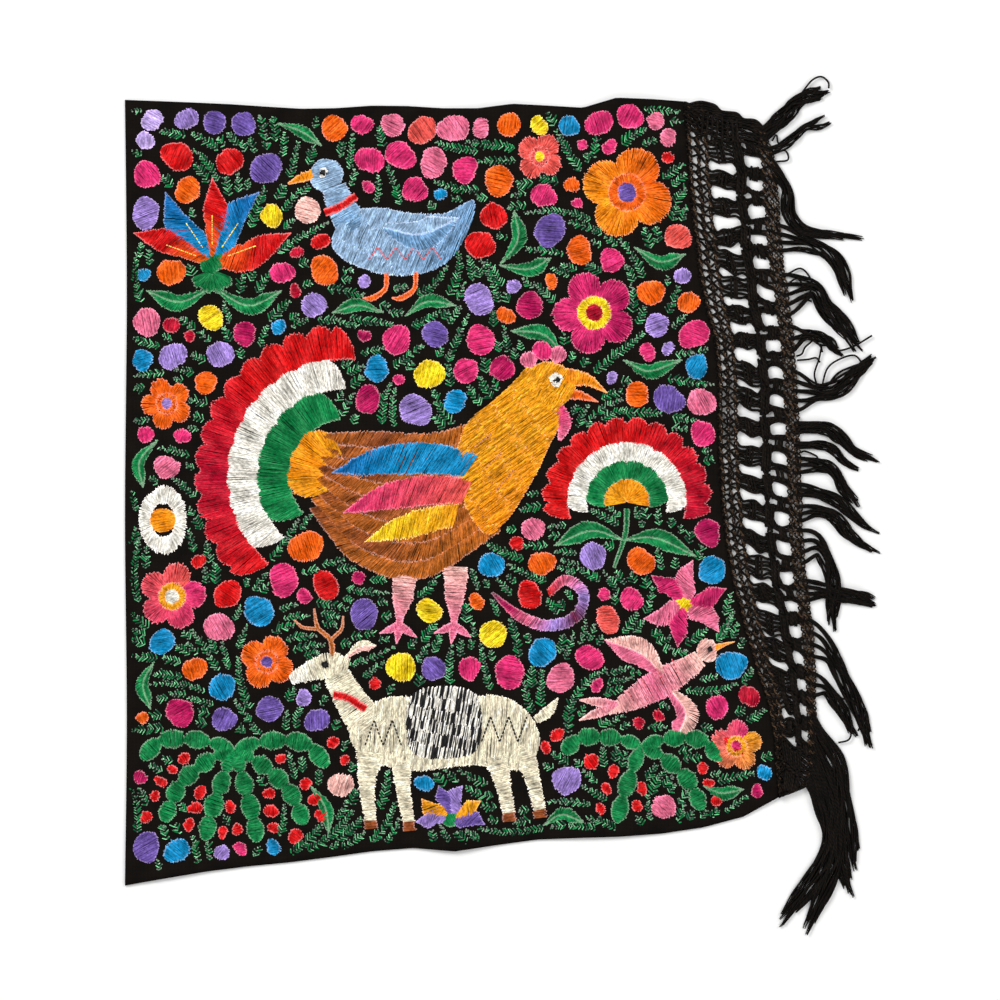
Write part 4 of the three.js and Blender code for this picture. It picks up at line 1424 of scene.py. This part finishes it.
t = np.linspace(0, 1, TASSEL_STEPS)
paths = []
for values in TASSELS:
    row = dict(zip(TASSEL_COLUMNS, values))
    start = net_edge((row["from"] + row["to"]) / 2)
    middle = even_line([start, *row["way"]], WAY_STEPS)
    sideways = ways(middle)[1]
    half = (row["strands"] - 1) / 2 * STRAND_PITCH
    wobble = chance.uniform(0, 6)
    for strand in range(row["strands"]):
        side = 1 - 2 * strand / (row["strands"] - 1)
        root = net_edge(row["to"] + (row["from"] - row["to"]) * (side + 1) / 2)
        short = abs(chance.normal(0, 0.05)) if side else 0.0
        for fine in range(FINE_YARNS):
            full = 1 - 0.07 * side**2 - short - abs(chance.normal(0, 0.022))
            reach = full * WAY_STEPS * t
            i = np.minimum(reach.astype(int), WAY_STEPS - 1)
            at = middle[i] + (middle[i + 1] - middle[i]) * (reach - i)[:, None]
            gather = eased(t / 0.35)
            fan_out = 1 + (row["fan"] - 1) * eased((t - 0.6) / 0.4)
            turn = 2 * math.pi * (fine / FINE_YARNS) + t * chance.uniform(5, 9) + chance.uniform(0, 1)
            loose = 0.62 + 0.55 * gather - chance.uniform(0.3, 0.9) * eased((t - 0.84) / 0.16)
            wander = 0.9 * gather * np.sin(t * 9 + strand * 2.3 + wobble) * min(row["strands"] / 4, 1)
            off = half * side * gather * fan_out + loose * np.cos(turn) + wander
            at = at + sideways[i] * off[:, None] + (root - start) * (1 - gather)[:, None]
            stray = chance.normal(0, 0.2, 2) * eased((t - 0.5) / 0.5)[:, None]
            high = FINE + 0.9 + (0.75 + 0.35 * gather) * np.sin(turn) + rest_height(at[:, 0], at[:, 1])
            high = high * (1 - 0.35 * eased((t - 0.7) / 0.3))
            paths.append(np.column_stack([at + stray, np.maximum(high, FINE)]))
thick = FINE * np.interp(t, TASSEL_THICKNESS["along"], TASSEL_THICKNESS["share"])
spin("fringe", paths, thick, shade=0.8)

# Loose yarns of the same fringe that show on their own, as loops, curls and ends between the
# tassels. They lie level, just over the table.
LOOSE = {"steps": 24, "high": 1.8, "radius": 0.55}
LOOSE_YARNS = [
    [(203.9, 212.5), (209.6, 219.6), (214.8, 221.7), (218.6, 218.7), (218.9, 215.3)],
    [(187.7, 186.4), (190.1, 189.7), (191.0, 185.4), (193.4, 184.5), (189.6, 183.5)],
    [(189, 180), (195, 181), (196.5, 176), (190, 175)],
    [(196.3, 113.3), (203.9, 116.2), (209.6, 108.6), (207.7, 100)],
    [(197.2, 108.6), (202, 110.5), (206.7, 103.8)],
    [(198.2, 98.1), (203.9, 100), (209.6, 98.1)],
    [(213.3, 98.1), (220, 93.4), (226.6, 90.5)],
    [(200.2, 73.7), (208.5, 77.7), (213.8, 74.2), (215.5, 70.2)],
    [(201.1, 68), (204.1, 69.3), (205.9, 72.9), (209.8, 76.4)],
    [(201.5, 65.8), (207.6, 66.3), (212, 67.1), (214.2, 64.5)],
    [(215, 74), (213.6, 66.7), (211, 58), (213, 51)],
    [(215, 51), (218, 61), (224, 66), (233, 68.5), (238, 63)],
    [(216.4, 76), (221, 71), (231.3, 72.9), (242.7, 79.4)],
    [(204.1, 29.9), (210.3, 31.2), (216.4, 29.9), (217.3, 28.1)],
    [(217.3, 27.7), (219.9, 22.9), (224.3, 20.2), (229.6, 19.3)],
    [(203.3, 15), (205.9, 15.8), (212, 13.2), (212.9, 10.6)],
    [(231.5, -132), (230.5, -142), (224, -144.5)],
    [(226, -120), (233, -122), (237, -132), (235, -138)],
]
for way in LOOSE_YARNS:
    line = even_line(way, LOOSE["steps"])
    spin("fringe", [np.column_stack([line, np.full(len(line), LOOSE["high"])])], LOOSE["radius"])
fringe = yarn_piece("tassels", "fringe")
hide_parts("tassel_fringe")
